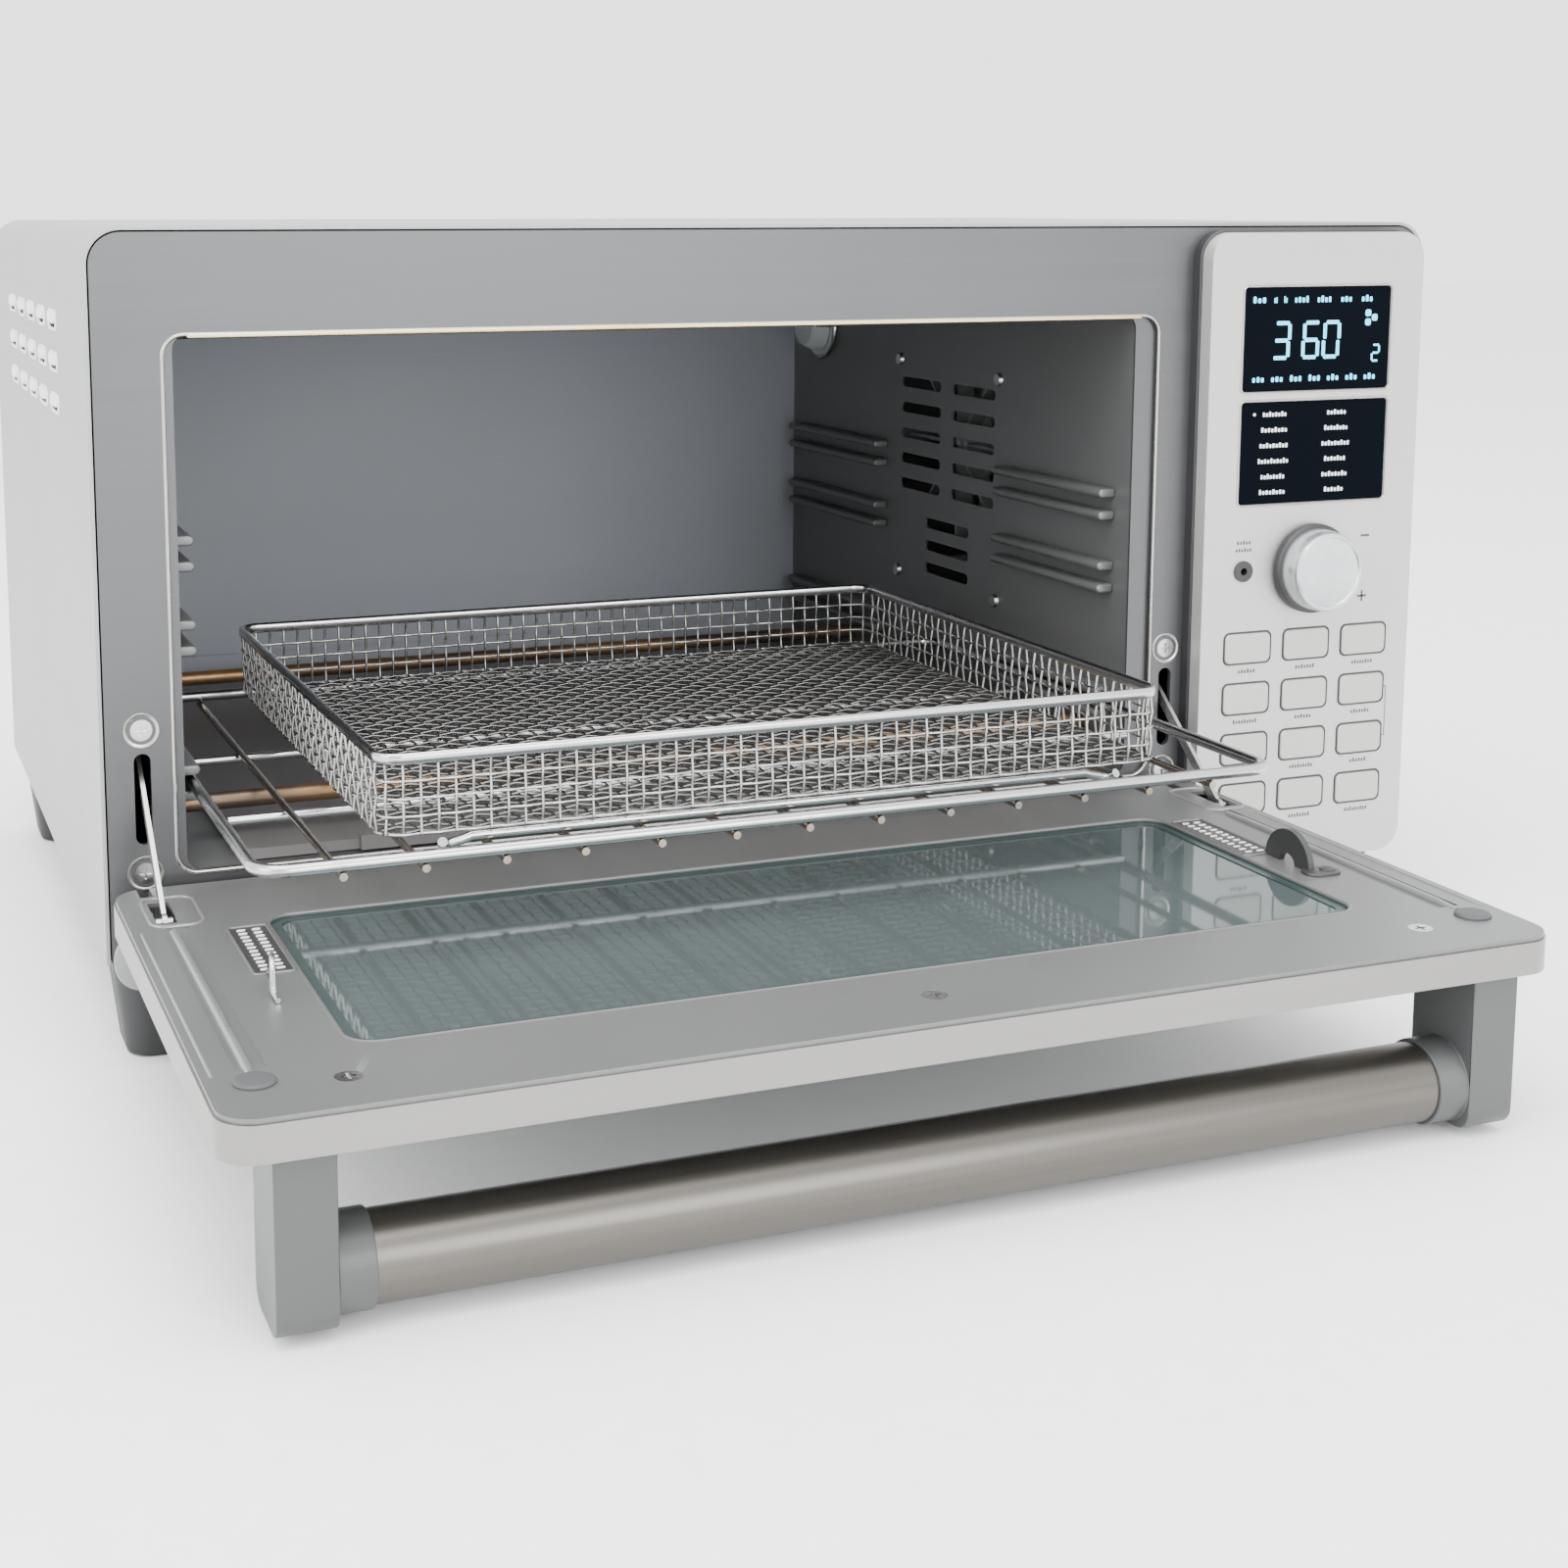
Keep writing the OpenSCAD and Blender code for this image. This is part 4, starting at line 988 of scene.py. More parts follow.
@dataclass
class Casing:
    """Outer shell, front frame, rear cover, base and feet.

    Attributes:
        palette: the finishes.
        slots: the pattern of the hoods and rims.
        lip_r: radius of the bright lip round the opening.
        lip_seat: how far the lip's middle lies behind the frame's face.
        mouth_r: corner radius of the opening.
        highlight_patch: how far the pale patch of painted highlight reaches from the frame's corner.
        screw_drops: how far the frame's screws lie below the top.
        dimple_r: radius of the pressed ring round a screw.
        vent_counts: columns and rows of a side vent.
        vent_pitch: their spacing.
        vent_start: the first slot's place from the back and from the top.
        rear_counts: columns and rows of the rear louvres.
        rear_pitch: their spacing.
        rear_middle: the louvres' middle from the left side and from the top.
        rear_screw_inset: how far the rear screws lie from the cover's edge.
        plate: the blank plate, from the cover's middle and lower edge.
        foot_r: half width of a foot at the top.
        foot_taper: how much narrower its sole is, each side.
    """

    palette: Palette
    slots: SlotGrid
    lip_r: float = 0.7
    lip_seat: float = 0.35
    mouth_r: float = 7.0
    highlight_patch: Pair = (34.0, 21.0)
    screw_drops: Pair = (160.3, 207.6)
    dimple_r: float = 5.4
    vent_counts: tuple[int, int] = (5, 3)
    vent_pitch: Pair = (37.0, 14.5)
    vent_start: Pair = (85.5, 33.0)
    rear_counts: tuple[int, int] = (12, 4)
    rear_pitch: Pair = (26.0, 12.0)
    rear_middle: Pair = (253.0, 55.4)
    rear_screw_inset: float = 14.0
    plate: Box = (-40.0, 40.0, 48.0, 92.0)
    foot_r: float = 19.0
    foot_taper: float = 4.0

    def build(self) -> None:
        """Dresses the sheet metal and adds the lip, trim, vents and feet."""
        p = self.palette
        dress(p.shell, "outer_shell")
        dress(p.frame, "front_frame")
        dress(p.zinc, "rear_cover", "base_pan")
        dress(p.black, "cord_inlet")
        dress(p.chrome, "casing_screws")
        self.lip()
        self.corner()
        self.dimples()
        self.vents()
        self.louvres()
        self.rear_trim()
        self.feet()

    def lip(self) -> None:
        """Rolled bright lip round the oven's mouth, with a golden strip of painted highlight along the top
        edge.
        """
        face = frame_face()
        left, right, floor = (Span("cavity_" + n) for n in ("left_wall", "right_wall", "floor"))
        box = (left.x1 - 3.5, right.x0 + 9.0, floor.z1 - 0.5, left.z1 - 5.0)
        bm = bmesh.new()
        path = rounded_outline(box, self.mouth_r, 10)
        sweep_loop(bm, Plane.FRONT, path, face - self.lip_seat, circle(self.lip_r, 10))
        add_shape("opening_lip", bm, self.palette.lip, "casing")
        # Golden strip along the top edge: painted highlight.
        bm = bmesh.new()
        edge = (box[0] + 8, box[1] - 8, box[3] - 1.2, box[3] + 0.4)
        pillow(bm, Plane.FRONT, edge, 0.7, (face - 3.0, face + 0.5), 0.5, 4)
        add_shape("opening_top_edge", bm, self.palette.edge_glint, "casing")

    def corner(self) -> None:
        """Pale patch on the frame's lower left corner: painted highlight where the corner faces the light.
        """
        front, face = Span("front_frame"), frame_face()
        highlight_patch = (front.x0 + 0.4, front.x0 + self.highlight_patch[0], front.z0 + 0.4, front.z0 + self.highlight_patch[1])
        # The pale patch is painted highlight on the frame's corner.
        bm = bmesh.new()
        pillow(bm, Plane.FRONT, highlight_patch, 9.6, (face - 1.0, face + 0.6), 0.6, 10)
        add_shape("corner_cap", bm, self.palette.shell, "casing")

    def dimples(self) -> None:
        """Pressed rings round the screws of the front frame."""
        face, top, r = frame_face(), Span("outer_shell").z1, self.dimple_r
        profile = [(0.5, -0.1), (0.3, 0.25), (-0.3, 0.25), (-0.9, -0.1)]
        bm = bmesh.new()
        for arm in ("door_arm_left", "door_arm_right"):
            for drop in self.screw_drops:
                ring = rounded_outline(centred(Span(arm).cx, top - drop, r, r), r, 12)
                sweep_loop(bm, Plane.FRONT, ring, face, profile)
        add_shape("screw_dimples", bm, self.palette.lip, "casing")

    def vents(self) -> None:
        """Pressed hoods and rims on the side vents."""
        shell, (columns, rows) = Span("outer_shell"), self.vent_counts
        mid_y = (shell.y1 - self.vent_start[0] - (columns - 1) / 2 * self.vent_pitch[0]) * MM
        mid_z = (shell.z1 - self.vent_start[1] - (rows - 1) / 2 * self.vent_pitch[1]) * MM
        # The rims and hoods take the pale rim finish, a painted glint on the vents.
        finish, counts, pitch = self.palette.rim, self.vent_counts, self.vent_pitch
        made = []
        for side, x in ((-1, shell.x0 * MM), (1, shell.x1 * MM)):
            ring = self.slots.grid(finish, counts, pitch, (22.2, 6.2), 3.1, Rim=0.55)
            hood = self.slots.grid(finish, counts, pitch, (20.6, 3.6), 1.8, Depth=1.3)
            for mesh, rise, deep in ((ring, 0.0, 0.0), (hood, 0.9 * MM, 0.4 * MM)):
                made.append(remap(mesh, lambda a, x=x, side=side, rise=rise, deep=deep: np.stack(
                    (x + side * (a[:, 2] - deep), mid_y - side * a[:, 0], mid_z + rise + a[:, 1]), 1)))
        piece = add_mesh("vent_rims", joined("vent_rims", made), None, "casing")

    def louvres(self) -> None:
        """Louvre hoods on the rear cover."""
        cover, shell = Span("rear_cover"), Span("outer_shell")
        across, drop = self.rear_middle
        place = np.array((shell.x0 + across, cover.y1 - 0.2, shell.z1 - drop)) * MM
        grid = self.slots.grid(self.palette.zinc, self.rear_counts, self.rear_pitch, (19.0, 2.2), 0.9,
                               Depth=1.8)
        grid = remap(grid, lambda a: np.stack((-a[:, 0], a[:, 2], a[:, 1]), 1) + place)
        piece = add_mesh("rear_hoods", joined("rear_hoods", [grid]), None, "casing")

    def rear_trim(self) -> None:
        """Screw heads and a blank plate on the rear cover."""
        cover, inset = Span("rear_cover"), self.rear_screw_inset
        face = -cover.y1
        head = [(3.4, face + 0.1), (3.4, face - 0.6), (2.6, face - 1.6), (0.5, face - 1.9)]
        bm = bmesh.new()
        for x in (cover.x0 + inset, cover.cx, cover.x1 - inset):
            for z in (cover.z0 + inset, cover.z1 - inset):
                turned(bm, Plane.FRONT, (x, z), head, 24)
        add_shape("rear_screws", bm, self.palette.chrome, "casing")
        u0, u1, v0, v1 = self.plate
        box = (cover.cx + u0, cover.cx + u1, cover.z0 + v0, cover.z0 + v1)
        outline = rounded_outline(box, 3.0, 6)
        bm = bmesh.new()
        stack(bm, Plane.FRONT, [(outline, face + 0.1), (outline, face - 0.4)])
        add_shape("rear_plate", bm, self.palette.lip, "casing")

    def feet(self) -> None:
        """Tapered moulded feet."""
        feet, r, t = Span("feet"), self.foot_r, self.foot_taper
        bm = bmesh.new()
        for x in (feet.x0 + r + 1, feet.x1 - r - 1):
            for y in (feet.y0 + r + 1, feet.y1 - r - 1):
                rings = []
                for inset, z in ((t + 2.0, 0.0), (t + 0.6, 0.7), (t, 2.4), (0.0, feet.z1 - 0.02)):
                    h = r - inset
                    rings.append((rounded_outline(centred(x, y, h, h), h * 0.55, 8), z))
                stack(bm, Plane.TOP, rings)
        piece = add_shape("foot_mouldings", bm, self.palette.grey, "casing")
        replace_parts(piece, "feet")


@dataclass
class Cavity:
    """Oven liner with its guides, elements, fan, lamp and crumb tray.

    Attributes:
        palette: the finishes.
        guide_soft: width of the roll on the rack guides.
        bezel_r: radius of the lamp's bezel.
        bezel_wire: radius of its section.
    """

    palette: Palette
    guide_soft: float = 0.8
    bezel_r: float = 15.6
    bezel_wire: float = 1.2

    def build(self) -> None:
        """Dresses the liner and builds the guides and the lamp."""
        p = self.palette
        dress(p.liner, "cavity_left_wall", "cavity_right_wall", "cavity_roof", "cavity_floor")
        dress(p.liner_rear, "cavity_rear_wall")
        dress(p.sheath, "upper_elements", "lower_elements")
        dress(p.ceramic, "element_supports")
        dress(p.zinc, "fan_motor", "fan_blade")
        dress(p.chrome, "lamp_clip")
        dress(p.tray, "crumb_tray")
        dress(p.lamp, "lamp_lens")
        self.guides()
        self.lamp()

    def guides(self) -> None:
        """Rounded pressings that carry the rack."""
        mesh = softened_copy("rack_guides", self.guide_soft, 50.0, 3)
        piece = add_mesh("guide_pressings", mesh, self.palette.liner, "casing")
        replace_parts(piece, "rack_guides")

    def lamp(self) -> None:
        """Bright bezel round the domed lamp glass."""
        lens = Span("lamp_lens")
        ring = circle(self.bezel_r, 40, lens.cy, lens.cz)
        bm = bmesh.new()
        sweep_loop(bm, Plane.RIGHT, ring, lens.x1 - 1.3, circle(self.bezel_wire, 8))
        add_shape("lamp_bezel", bm, self.palette.chrome, "casing")


class Marks:
    """Small flat marks on one upright face, gathered into one piece."""

    def __init__(self, depth: float, thick: float) -> None:
        """Starts an empty set on the face at a depth.

        Args:
            depth: outward depth of the face.
            thick: how far a mark stands out.
        """
        self.bm = bmesh.new()
        self.depth = depth
        self.thick = thick

    def bar(self, u: float, v: float, w: float, h: float) -> None:
        """Adds one flat mark centred at u and v."""
        reach = (self.depth - 0.05, self.depth + self.thick)
        pillow(self.bm, Plane.FRONT, centred(u, v, w / 2, h / 2), min(w, h) * 0.3, reach, 0.04, 2)

    def word(self, u: float, v: float, w: float, h: float) -> None:
        """Adds a row of plain blocks centred at u and v, in place of a printed word.

        Args:
            u: centre across.
            v: centre in height.
            w: the row's width.
            h: the tallest block.
        """
        count = max(2, round(w / (h * 0.75)))
        step = w / count
        for k in range(count):
            tall = h * (1.0, 0.74, 0.86, 0.74)[(k * 3 + round(u + v)) % 4]
            self.bar(u - w / 2 + (k + 0.5) * step, v - (h - tall) / 2, step * 0.64, tall)

    def figure(self, name: str, u: float, v: float, h: float, stroke: float) -> None:
        """Adds one seven-stroke figure.

        Args:
            name: the figure.
            u: its centre across.
            v: its centre in height.
            h: its height.
            stroke: the width of a stroke.
        """
        w = h * 0.5
        places = {"a": (0, h / 2), "g": (0, 0), "d": (0, -h / 2), "b": (w / 2, h / 4),
                  "c": (w / 2, -h / 4), "f": (-w / 2, h / 4), "e": (-w / 2, -h / 4)}
        for key in SEGMENTS[name]:
            du, dv = places[key]
            size = (w - stroke * 0.5, stroke) if key in "agd" else (stroke, h / 2 - stroke * 0.4)
            self.bar(u + du + dv * 0.08, v + dv, *size)

    def add(self, name: str, finish: Finish) -> None:
        """Adds the marks as one piece on the casing."""
        add_mesh(name, ended(self.bm, name), finish, "casing")


@dataclass
class ControlPanel:
    """Raised panel with its windows, knob, keys and generic marks.

    Attributes:
        palette: the finishes.
        roll: width of the panel's rolled edge.
        corner_r: corner radius of the panel.
        shade_rise: how far the dark band of painted shade round the panel's foot stands out of the frame.
        digit_h: height of the main figures.
        stroke: width of a figure's stroke.
        small_h: height of the small figure.
        glow: thickness of a mark in a window.
        ink: thickness of a printed mark.
    """

    palette: Palette
    roll: float = 1.8
    corner_r: float = 10.0
    shade_rise: float = 5.0
    digit_h: float = 13.0
    stroke: float = 1.5
    small_h: float = 6.0
    glow: float = 0.12
    ink: float = 0.06

    def build(self) -> None:
        """Builds everything on the panel."""
        p = self.palette
        dress(p.film, "display_window", "menu_window")
        dress(p.board, "control_board")
        dress(p.grey, "encoder_housing", "encoder_plunger")
        dress(p.black, "probe_jack")
        mesh = softened_copy("control_panel", self.roll, 60.0, 4)
        piece = add_mesh("panel_moulding", mesh, p.panel, "casing", 30.0, 3.0)
        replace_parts(piece, "control_panel")
        self.borders()
        self.surround()
        self.keys()
        self.knob()
        self.readout()
        self.menu()
        self.legends()

    def borders(self) -> None:
        """Fine bright borders round the windows and dark rings of painted shadow round the keys."""
        depth = -Span("control_panel").y0
        bm = bmesh.new()
        for node in ("display_window", "menu_window"):
            outline = rounded_outline(grown(Span(node).front, 0.6), 1.9, 6)
            sweep_loop(bm, Plane.FRONT, outline, depth, circle(0.45, 8))
        add_shape("window_borders", bm, self.palette.lip, "casing")
        # Dark rings round the keys: painted shadow.
        bm = bmesh.new()
        for i in range(1, 13):
            outline = rounded_outline(grown(Span(f"button_{i}").front, 0.1), 2.2, 6)
            sweep_loop(bm, Plane.FRONT, outline, depth + 0.05, circle(0.42, 6))
        add_shape("key_shadows", bm, self.palette.black, "casing")

    def surround(self) -> None:
        """Dark band between the panel and the front frame: painted shade of the panel's side."""
        g = self.shade_rise
        outline = rounded_outline(Span("control_panel").front, self.corner_r, 12)
        profile = [(0.9, -0.2), (0.9, g - 0.4), (0.5, g), (-0.4, g), (-0.4, -0.2)]
        bm = bmesh.new()
        # Black band round the panel's foot: painted shade of the panel's side.
        sweep_loop(bm, Plane.FRONT, outline, frame_face(), profile)
        add_shape("panel_gasket", bm, self.palette.black, "casing")

    def keys(self) -> None:
        """Twelve keys with softened faces."""
        for i in range(1, 13):
            mesh = softened_copy(f"button_{i}", 0.7, 60.0, 3)
            piece = add_mesh(f"key_cap_{i}", mesh, self.palette.key, f"key_{i}", 30.0, 2.0)
            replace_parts(piece, f"button_{i}")

    def knob(self) -> None:
        """Turned knob with a bright ring, a dished face and a black ring at its base, painted shade in the
        gap.
        """
        knob = Span("knob")
        r, face, root = (knob.x1 - knob.x0) / 2, -knob.y0, -knob.y1
        base = face - 12.4
        stem = [(2.9, root + 0.3), (3.0, root + 0.6), (3.0, base)]
        side = [(r - 2.2, base + 0.1), (r - 1.6, face - 8.3), (r - 2.0, face - 1.6), (r - 2.5, face - 0.6)]
        ring = [(r - 3.4, face - 0.1), (r - 3.9, face - 0.1), (r - 4.3, face - 0.6)]
        dish = [(r - 7.0, face - 1.0), (1.0, face - 1.1)]
        bm = bmesh.new()
        turned(bm, Plane.FRONT, (knob.cx, knob.cz), stem + side + ring + dish, 96)
        piece = add_shape("knob_body", bm, self.palette.knob, "knob", 25.0)
        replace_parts(piece, "knob")
        # Black ring at the knob's base: painted shade in the gap behind the knob.
        shade_ring = [(r - 3.0, base - 0.05), (r - 0.5, base), (r, base + 0.5), (r - 0.1, base + 2.8),
                 (r - 0.6, base + 3.4), (r - 1.2, base + 3.6), (r - 3.0, base + 3.6)]
        bm = bmesh.new()
        turned(bm, Plane.FRONT, (knob.cx, knob.cz), shade_ring, 96)
        add_shape("knob_skirt", bm, self.palette.black, "knob", 25.0)

    def readout(self) -> None:
        """Glowing figures and small tell-tales of the upper window."""
        win = Span("display_window")
        marks = Marks(-win.y0, self.glow)
        for figure, shift in zip("360", (-16.0, -2.8, 6.4)):
            marks.figure(figure, win.cx + shift, win.cz - 0.5, self.digit_h, self.stroke)
        marks.figure("2", win.x1 - 6.0, win.cz - 6.0, self.small_h, 0.8)
        widths = (7.5, 2.0, 2.0, 8.0, 8.0, 6.5, 6.5)
        starts = (0, 7.2, 11.6, 18.8, 29.0, 39.0, 48.5)
        for start, w in zip(starts, widths):
            marks.word(win.x0 + 6.5 + start, win.z1 - 4.6, w * 0.84, 2.5)
        for k in range(7):
            marks.word(win.x0 + 7.0 + k * 8.4, win.z0 + 4.6, 5.8, 2.4)
        for u, v in circle(2.0, 3, win.x1 - 9.0, win.cz + 7.5):
            marks.bar(u, v, 2.6, 2.6)
        marks.add("display_marks", self.palette.digit)

    def menu(self) -> None:
        """Two columns of plain marks in the lower window."""
        win = Span("menu_window")
        marks = Marks(-win.y0, self.glow)
        first = win.z1 - 4.6
        for row in range(6):
            v = first - row * 5.9
            for u, w in ((win.x0 + 15.0, 11.0 + (row * 5) % 4), (win.x0 + 43.0, 9.0 + (row * 7) % 5)):
                marks.word(u, v, w, 1.9)
        marks.bar(win.x0 + 6.0, first, 1.1, 1.1)
        marks.add("menu_marks", self.palette.mark)

    def legends(self) -> None:
        """Plain printed blocks under the keys and the signs beside the knob."""
        knob, jack = Span("knob"), Span("probe_jack")
        marks = Marks(-Span("control_panel").y0, self.ink)
        for i in range(1, 13):
            key = Span(f"button_{i}")
            marks.word(key.cx, key.z0 - 3.0, 11.0 - (i * 3) % 4, 1.7)
        minus, plus = (knob.cx + 25.6, knob.cz + 11.0), (knob.cx + 25.2, knob.cz - 12.6)
        marks.bar(*minus, 4.2, 0.9)
        marks.bar(*plus, 4.4, 0.9)
        marks.bar(*plus, 0.9, 4.4)
        marks.word(jack.cx, jack.cz + 11.0, 6.5, 1.6)
        marks.word(jack.cx, jack.cz + 8.2, 7.5, 1.6)
        low, high = Span("button_9"), Span("button_6")
        u = high.x1 + 1.6
        marks.bar(u, (low.cz + high.cz) / 2, 0.4, high.cz - low.cz)
        for v in (low.cz, high.cz):
            marks.bar(u - 0.6, v, 1.4, 0.4)
        marks.add("panel_legends", self.palette.legend)


@dataclass
class Door:
    """Drop-down door with its liner, glass, handle, hooks and arms.

    Attributes:
        palette: the finishes.
        slots: the pattern of the louvred patches.
        glass_lap: how far the liner covers the glass.
        window_r: corner radius of the window.
        shade_band_w: width of the dark band of painted shade at the edge of the glass.
        rib_r: radii of the wide and the narrow rib.
        rib_gap: distance between them.
        pad_r: radius of a bumper.
        pocket: how far an arm's pocket reaches outward and inward from the arm.
        vent_size: width and length of a louvred patch.
        vent_place: its middle from the liner's side and from its hinge edge.
        hook_r: outer half width and height of the pressed hook.
        hook_hole: half width and height of its hole.
    """

    palette: Palette
    slots: SlotGrid
    glass_lap: float = 10.0
    window_r: float = 9.0
    shade_band_w: float = 4.2
    rib_r: Pair = (1.5, 0.7)
    rib_gap: float = 9.5
    pad_r: float = 5.6
    pocket: Pair = (5.2, 11.0)
    vent_size: Pair = (12.0, 45.0)
    vent_place: Pair = (33.5, 73.0)
    hook_r: Pair = (12.0, 11.5)
    hook_hole: Pair = (4.2, 3.4)

    def build(self) -> None:
        """Builds and dresses the door."""
        p = self.palette
        shell = softened_copy("door_outer_shell", 2.4, 60.0, 4)
        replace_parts(add_mesh("door_skin", shell, p.door, "door", 30.0, 3.0), "door_outer_shell")
        liner = softened_copy("door_inner_panel", 0.5, 50.0, 2)
        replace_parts(add_mesh("door_liner", liner, p.door_liner, "door", 30.0, 3.0), "door_inner_panel")
        dress(p.window, "door_glass")
        dress(p.seal, "glass_seal")
        dress(p.zinc, "door_knuckles")
        dress(p.chrome, "hinge_pins", "door_screws")
        dress(p.strap, "door_arm_left", "door_arm_right")
        self.hook_plate()
        self.hook_wire()
        self.ribs()
        self.bezel()
        self.bumpers()
        self.vents()
        self.handle()

    def hook_plate(self) -> None:
        """Dark pressed hook at the right, with its riveted foot."""
        hooks = Span("rack_hooks")
        mid, foot, x = hooks.y1 - 10.0, hooks.z0, hooks.x1 - 4.0
        outline = [(mid + w * math.cos(a), foot + h * math.sin(a))
                   for (w, h), angles in ((self.hook_r, np.linspace(0, math.pi, 15)),
                                          (self.hook_hole, np.linspace(math.pi, 0, 15))) for a in angles]
        rivet = [(2.6, foot + 0.9), (2.5, foot + 1.4), (1.6, foot + 1.8), (0.3, foot + 1.9)]
        bm = bmesh.new()
        stack(bm, Plane.RIGHT, [(outline, x - 1.1), (outline, x + 1.1)])
        pillow(bm, Plane.TOP, (x - 4, x + 9, mid - 18, mid - 9), 4.0, (foot - 0.1, foot + 1.0), 0.5, 6)
        turned(bm, Plane.TOP, (x + 5, mid - 13.5), rivet, 20)
        piece = add_shape("hook_plate", bm, self.palette.dark, "door", 35.0)
        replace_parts(piece, "rack_hooks")

    def hook_wire(self) -> None:
        """Bright wire hook at the left."""
        hooks = Span("rack_hooks")
        mid, foot, x = hooks.y1 - 10.0, hooks.z0, hooks.x0 + 4.0
        rise = hooks.z1 - foot - 1.0
        arch = [(x + 1.2 * math.cos(a), mid + 7 * math.cos(a), foot + 0.2 + rise * math.sin(a))
                for a in np.linspace(0, math.pi, 17)[1:-1]]
        start = [(x + 1.2, mid + 12, foot + 0.9), (x + 1.2, mid + 8, foot + 0.8)]
        end = [(x - 1.2, mid - 8, foot + 0.8), (x - 1.2, mid - 14, foot + 0.9)]
        bm = bmesh.new()
        rod(bm, start + arch + end, 0.8, 8)
        piece = add_shape("hook_wire", bm, self.palette.chrome, "door")
        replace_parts(piece, "rack_hooks")

    def ribs(self) -> None:
        """Pressed ribs beside the ends and a rim round each arm's pocket."""
        panel, pads = Span("door_inner_panel"), Span("door_bumpers")
        z = panel.z1
        wide, narrow = self.rib_r
        bm = bmesh.new()
        for x, side in ((pads.x0 + self.pad_r, -1), (pads.x1 - self.pad_r, 1)):
            for u, r in ((x, wide), (x + side * self.rib_gap, narrow)):
                high, low = z - r * 0.4, z - r * 0.7
                rod(bm, [(u, pads.cy + 7, low), (u, pads.cy + 16, high),
                         (u, panel.y1 - 58, high), (u, panel.y1 - 46, low)], r, 10)
        out, back = self.pocket
        for node, left, right in (("door_arm_left", out, back), ("door_arm_right", back, out)):
            x = Span(node).cx
            outline = rounded_outline((x - left, x + right, panel.y1 - 42, panel.y1 - 12), 5.0, 8)
            sweep_loop(bm, Plane.TOP, outline, z - 0.1, circle(0.6, 8))
        # The ribs and pocket rims take a lighter copy of the liner's coat: painted highlight.
        add_shape("liner_ribs", bm, self.palette.rib_highlight, "door")

    def bezel(self) -> None:
        """Dark band of painted shade round the edge of the glass, standing for the shaded recess wall, and
        a rolled lip outside it.
        """
        glass, panel = Span("door_glass"), Span("door_inner_panel")
        outline = rounded_outline(grown(glass.top, -self.glass_lap), self.window_r, 10)
        w, wall = self.shade_band_w, panel.z1 - glass.z1 - 0.35
        profile = [(0.3, 0.02), (0.3, wall), (-0.45, wall), (-0.6, 0.5), (-w, 0.35), (-w, 0.02)]
        # Dark band: painted shade on the recess wall round the glass.
        bm = bmesh.new()
        sweep_loop(bm, Plane.TOP, outline, glass.z1, profile)
        add_shape("glass_band", bm, self.palette.bezel, "door")
        bm = bmesh.new()
        sweep_loop(bm, Plane.TOP, outline, panel.z1 - 0.5, circle(0.75, 8))
        add_shape("window_lip", bm, self.palette.door_liner, "door")

    def bumpers(self) -> None:
        """Soft round bumpers at the free corners."""
        pads, r = Span("door_bumpers"), self.pad_r
        low, high = pads.z0, pads.z1
        profile = [(r, low + 0.02), (r, low + 0.5), (r - 0.5, high - 0.1), (r - 1.2, high), (0.4, high)]
        bm = bmesh.new()
        for x in (pads.x0 + r, pads.x1 - r):
            turned(bm, Plane.TOP, (x, pads.cy), profile, 40)
        piece = add_shape("bumper_pads", bm, self.palette.bumper, "door")
        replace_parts(piece, "door_bumpers")

    def vents(self) -> None:
        """Louvred patches beside the window: dark beds, bright slots and borders."""
        panel, finish = Span("door_inner_panel"), self.palette.lip
        inset, mid_y = self.vent_place[0], panel.y1 - self.vent_place[1]
        half = (self.vent_size[0] / 2, self.vent_size[1] / 2)
        z = panel.z1
        made, borders, beds = [], bmesh.new(), bmesh.new()
        for x in (panel.x0 + inset, panel.x1 - inset):
            grid = self.slots.grid(finish, (2, 12), (4.6, 3.4), (2.6, 1.1), 0.5, Depth=0.35)
            place = np.array((x, mid_y, z + 0.03)) * MM
            made.append(remap(grid, lambda a, place=place: a + place))
            box = centred(x, mid_y, *half)
            pillow(beds, Plane.TOP, grown(box, -0.4), 1.2, (z - 0.3, z + 0.1), 0.05, 4)
            sweep_loop(borders, Plane.TOP, rounded_outline(box, 1.5, 4), z + 0.1, circle(0.5, 8))
        add_mesh("vent_holes", joined("vent_holes", made), None, "door")
        add_shape("vent_beds", beds, self.palette.dark, "door")
        add_shape("vent_borders", borders, self.palette.door_liner, "door")

    def handle(self) -> None:
        """Silver posts with softened edges and a brushed tube."""
        posts = softened_copy("handle_posts", 2.0, 60.0, 4)
        piece = add_mesh("post_castings", posts, self.palette.post, "door", 30.0, 3.0)
        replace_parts(piece, "handle_posts")
        dress(self.palette.bar, "handle_bar")


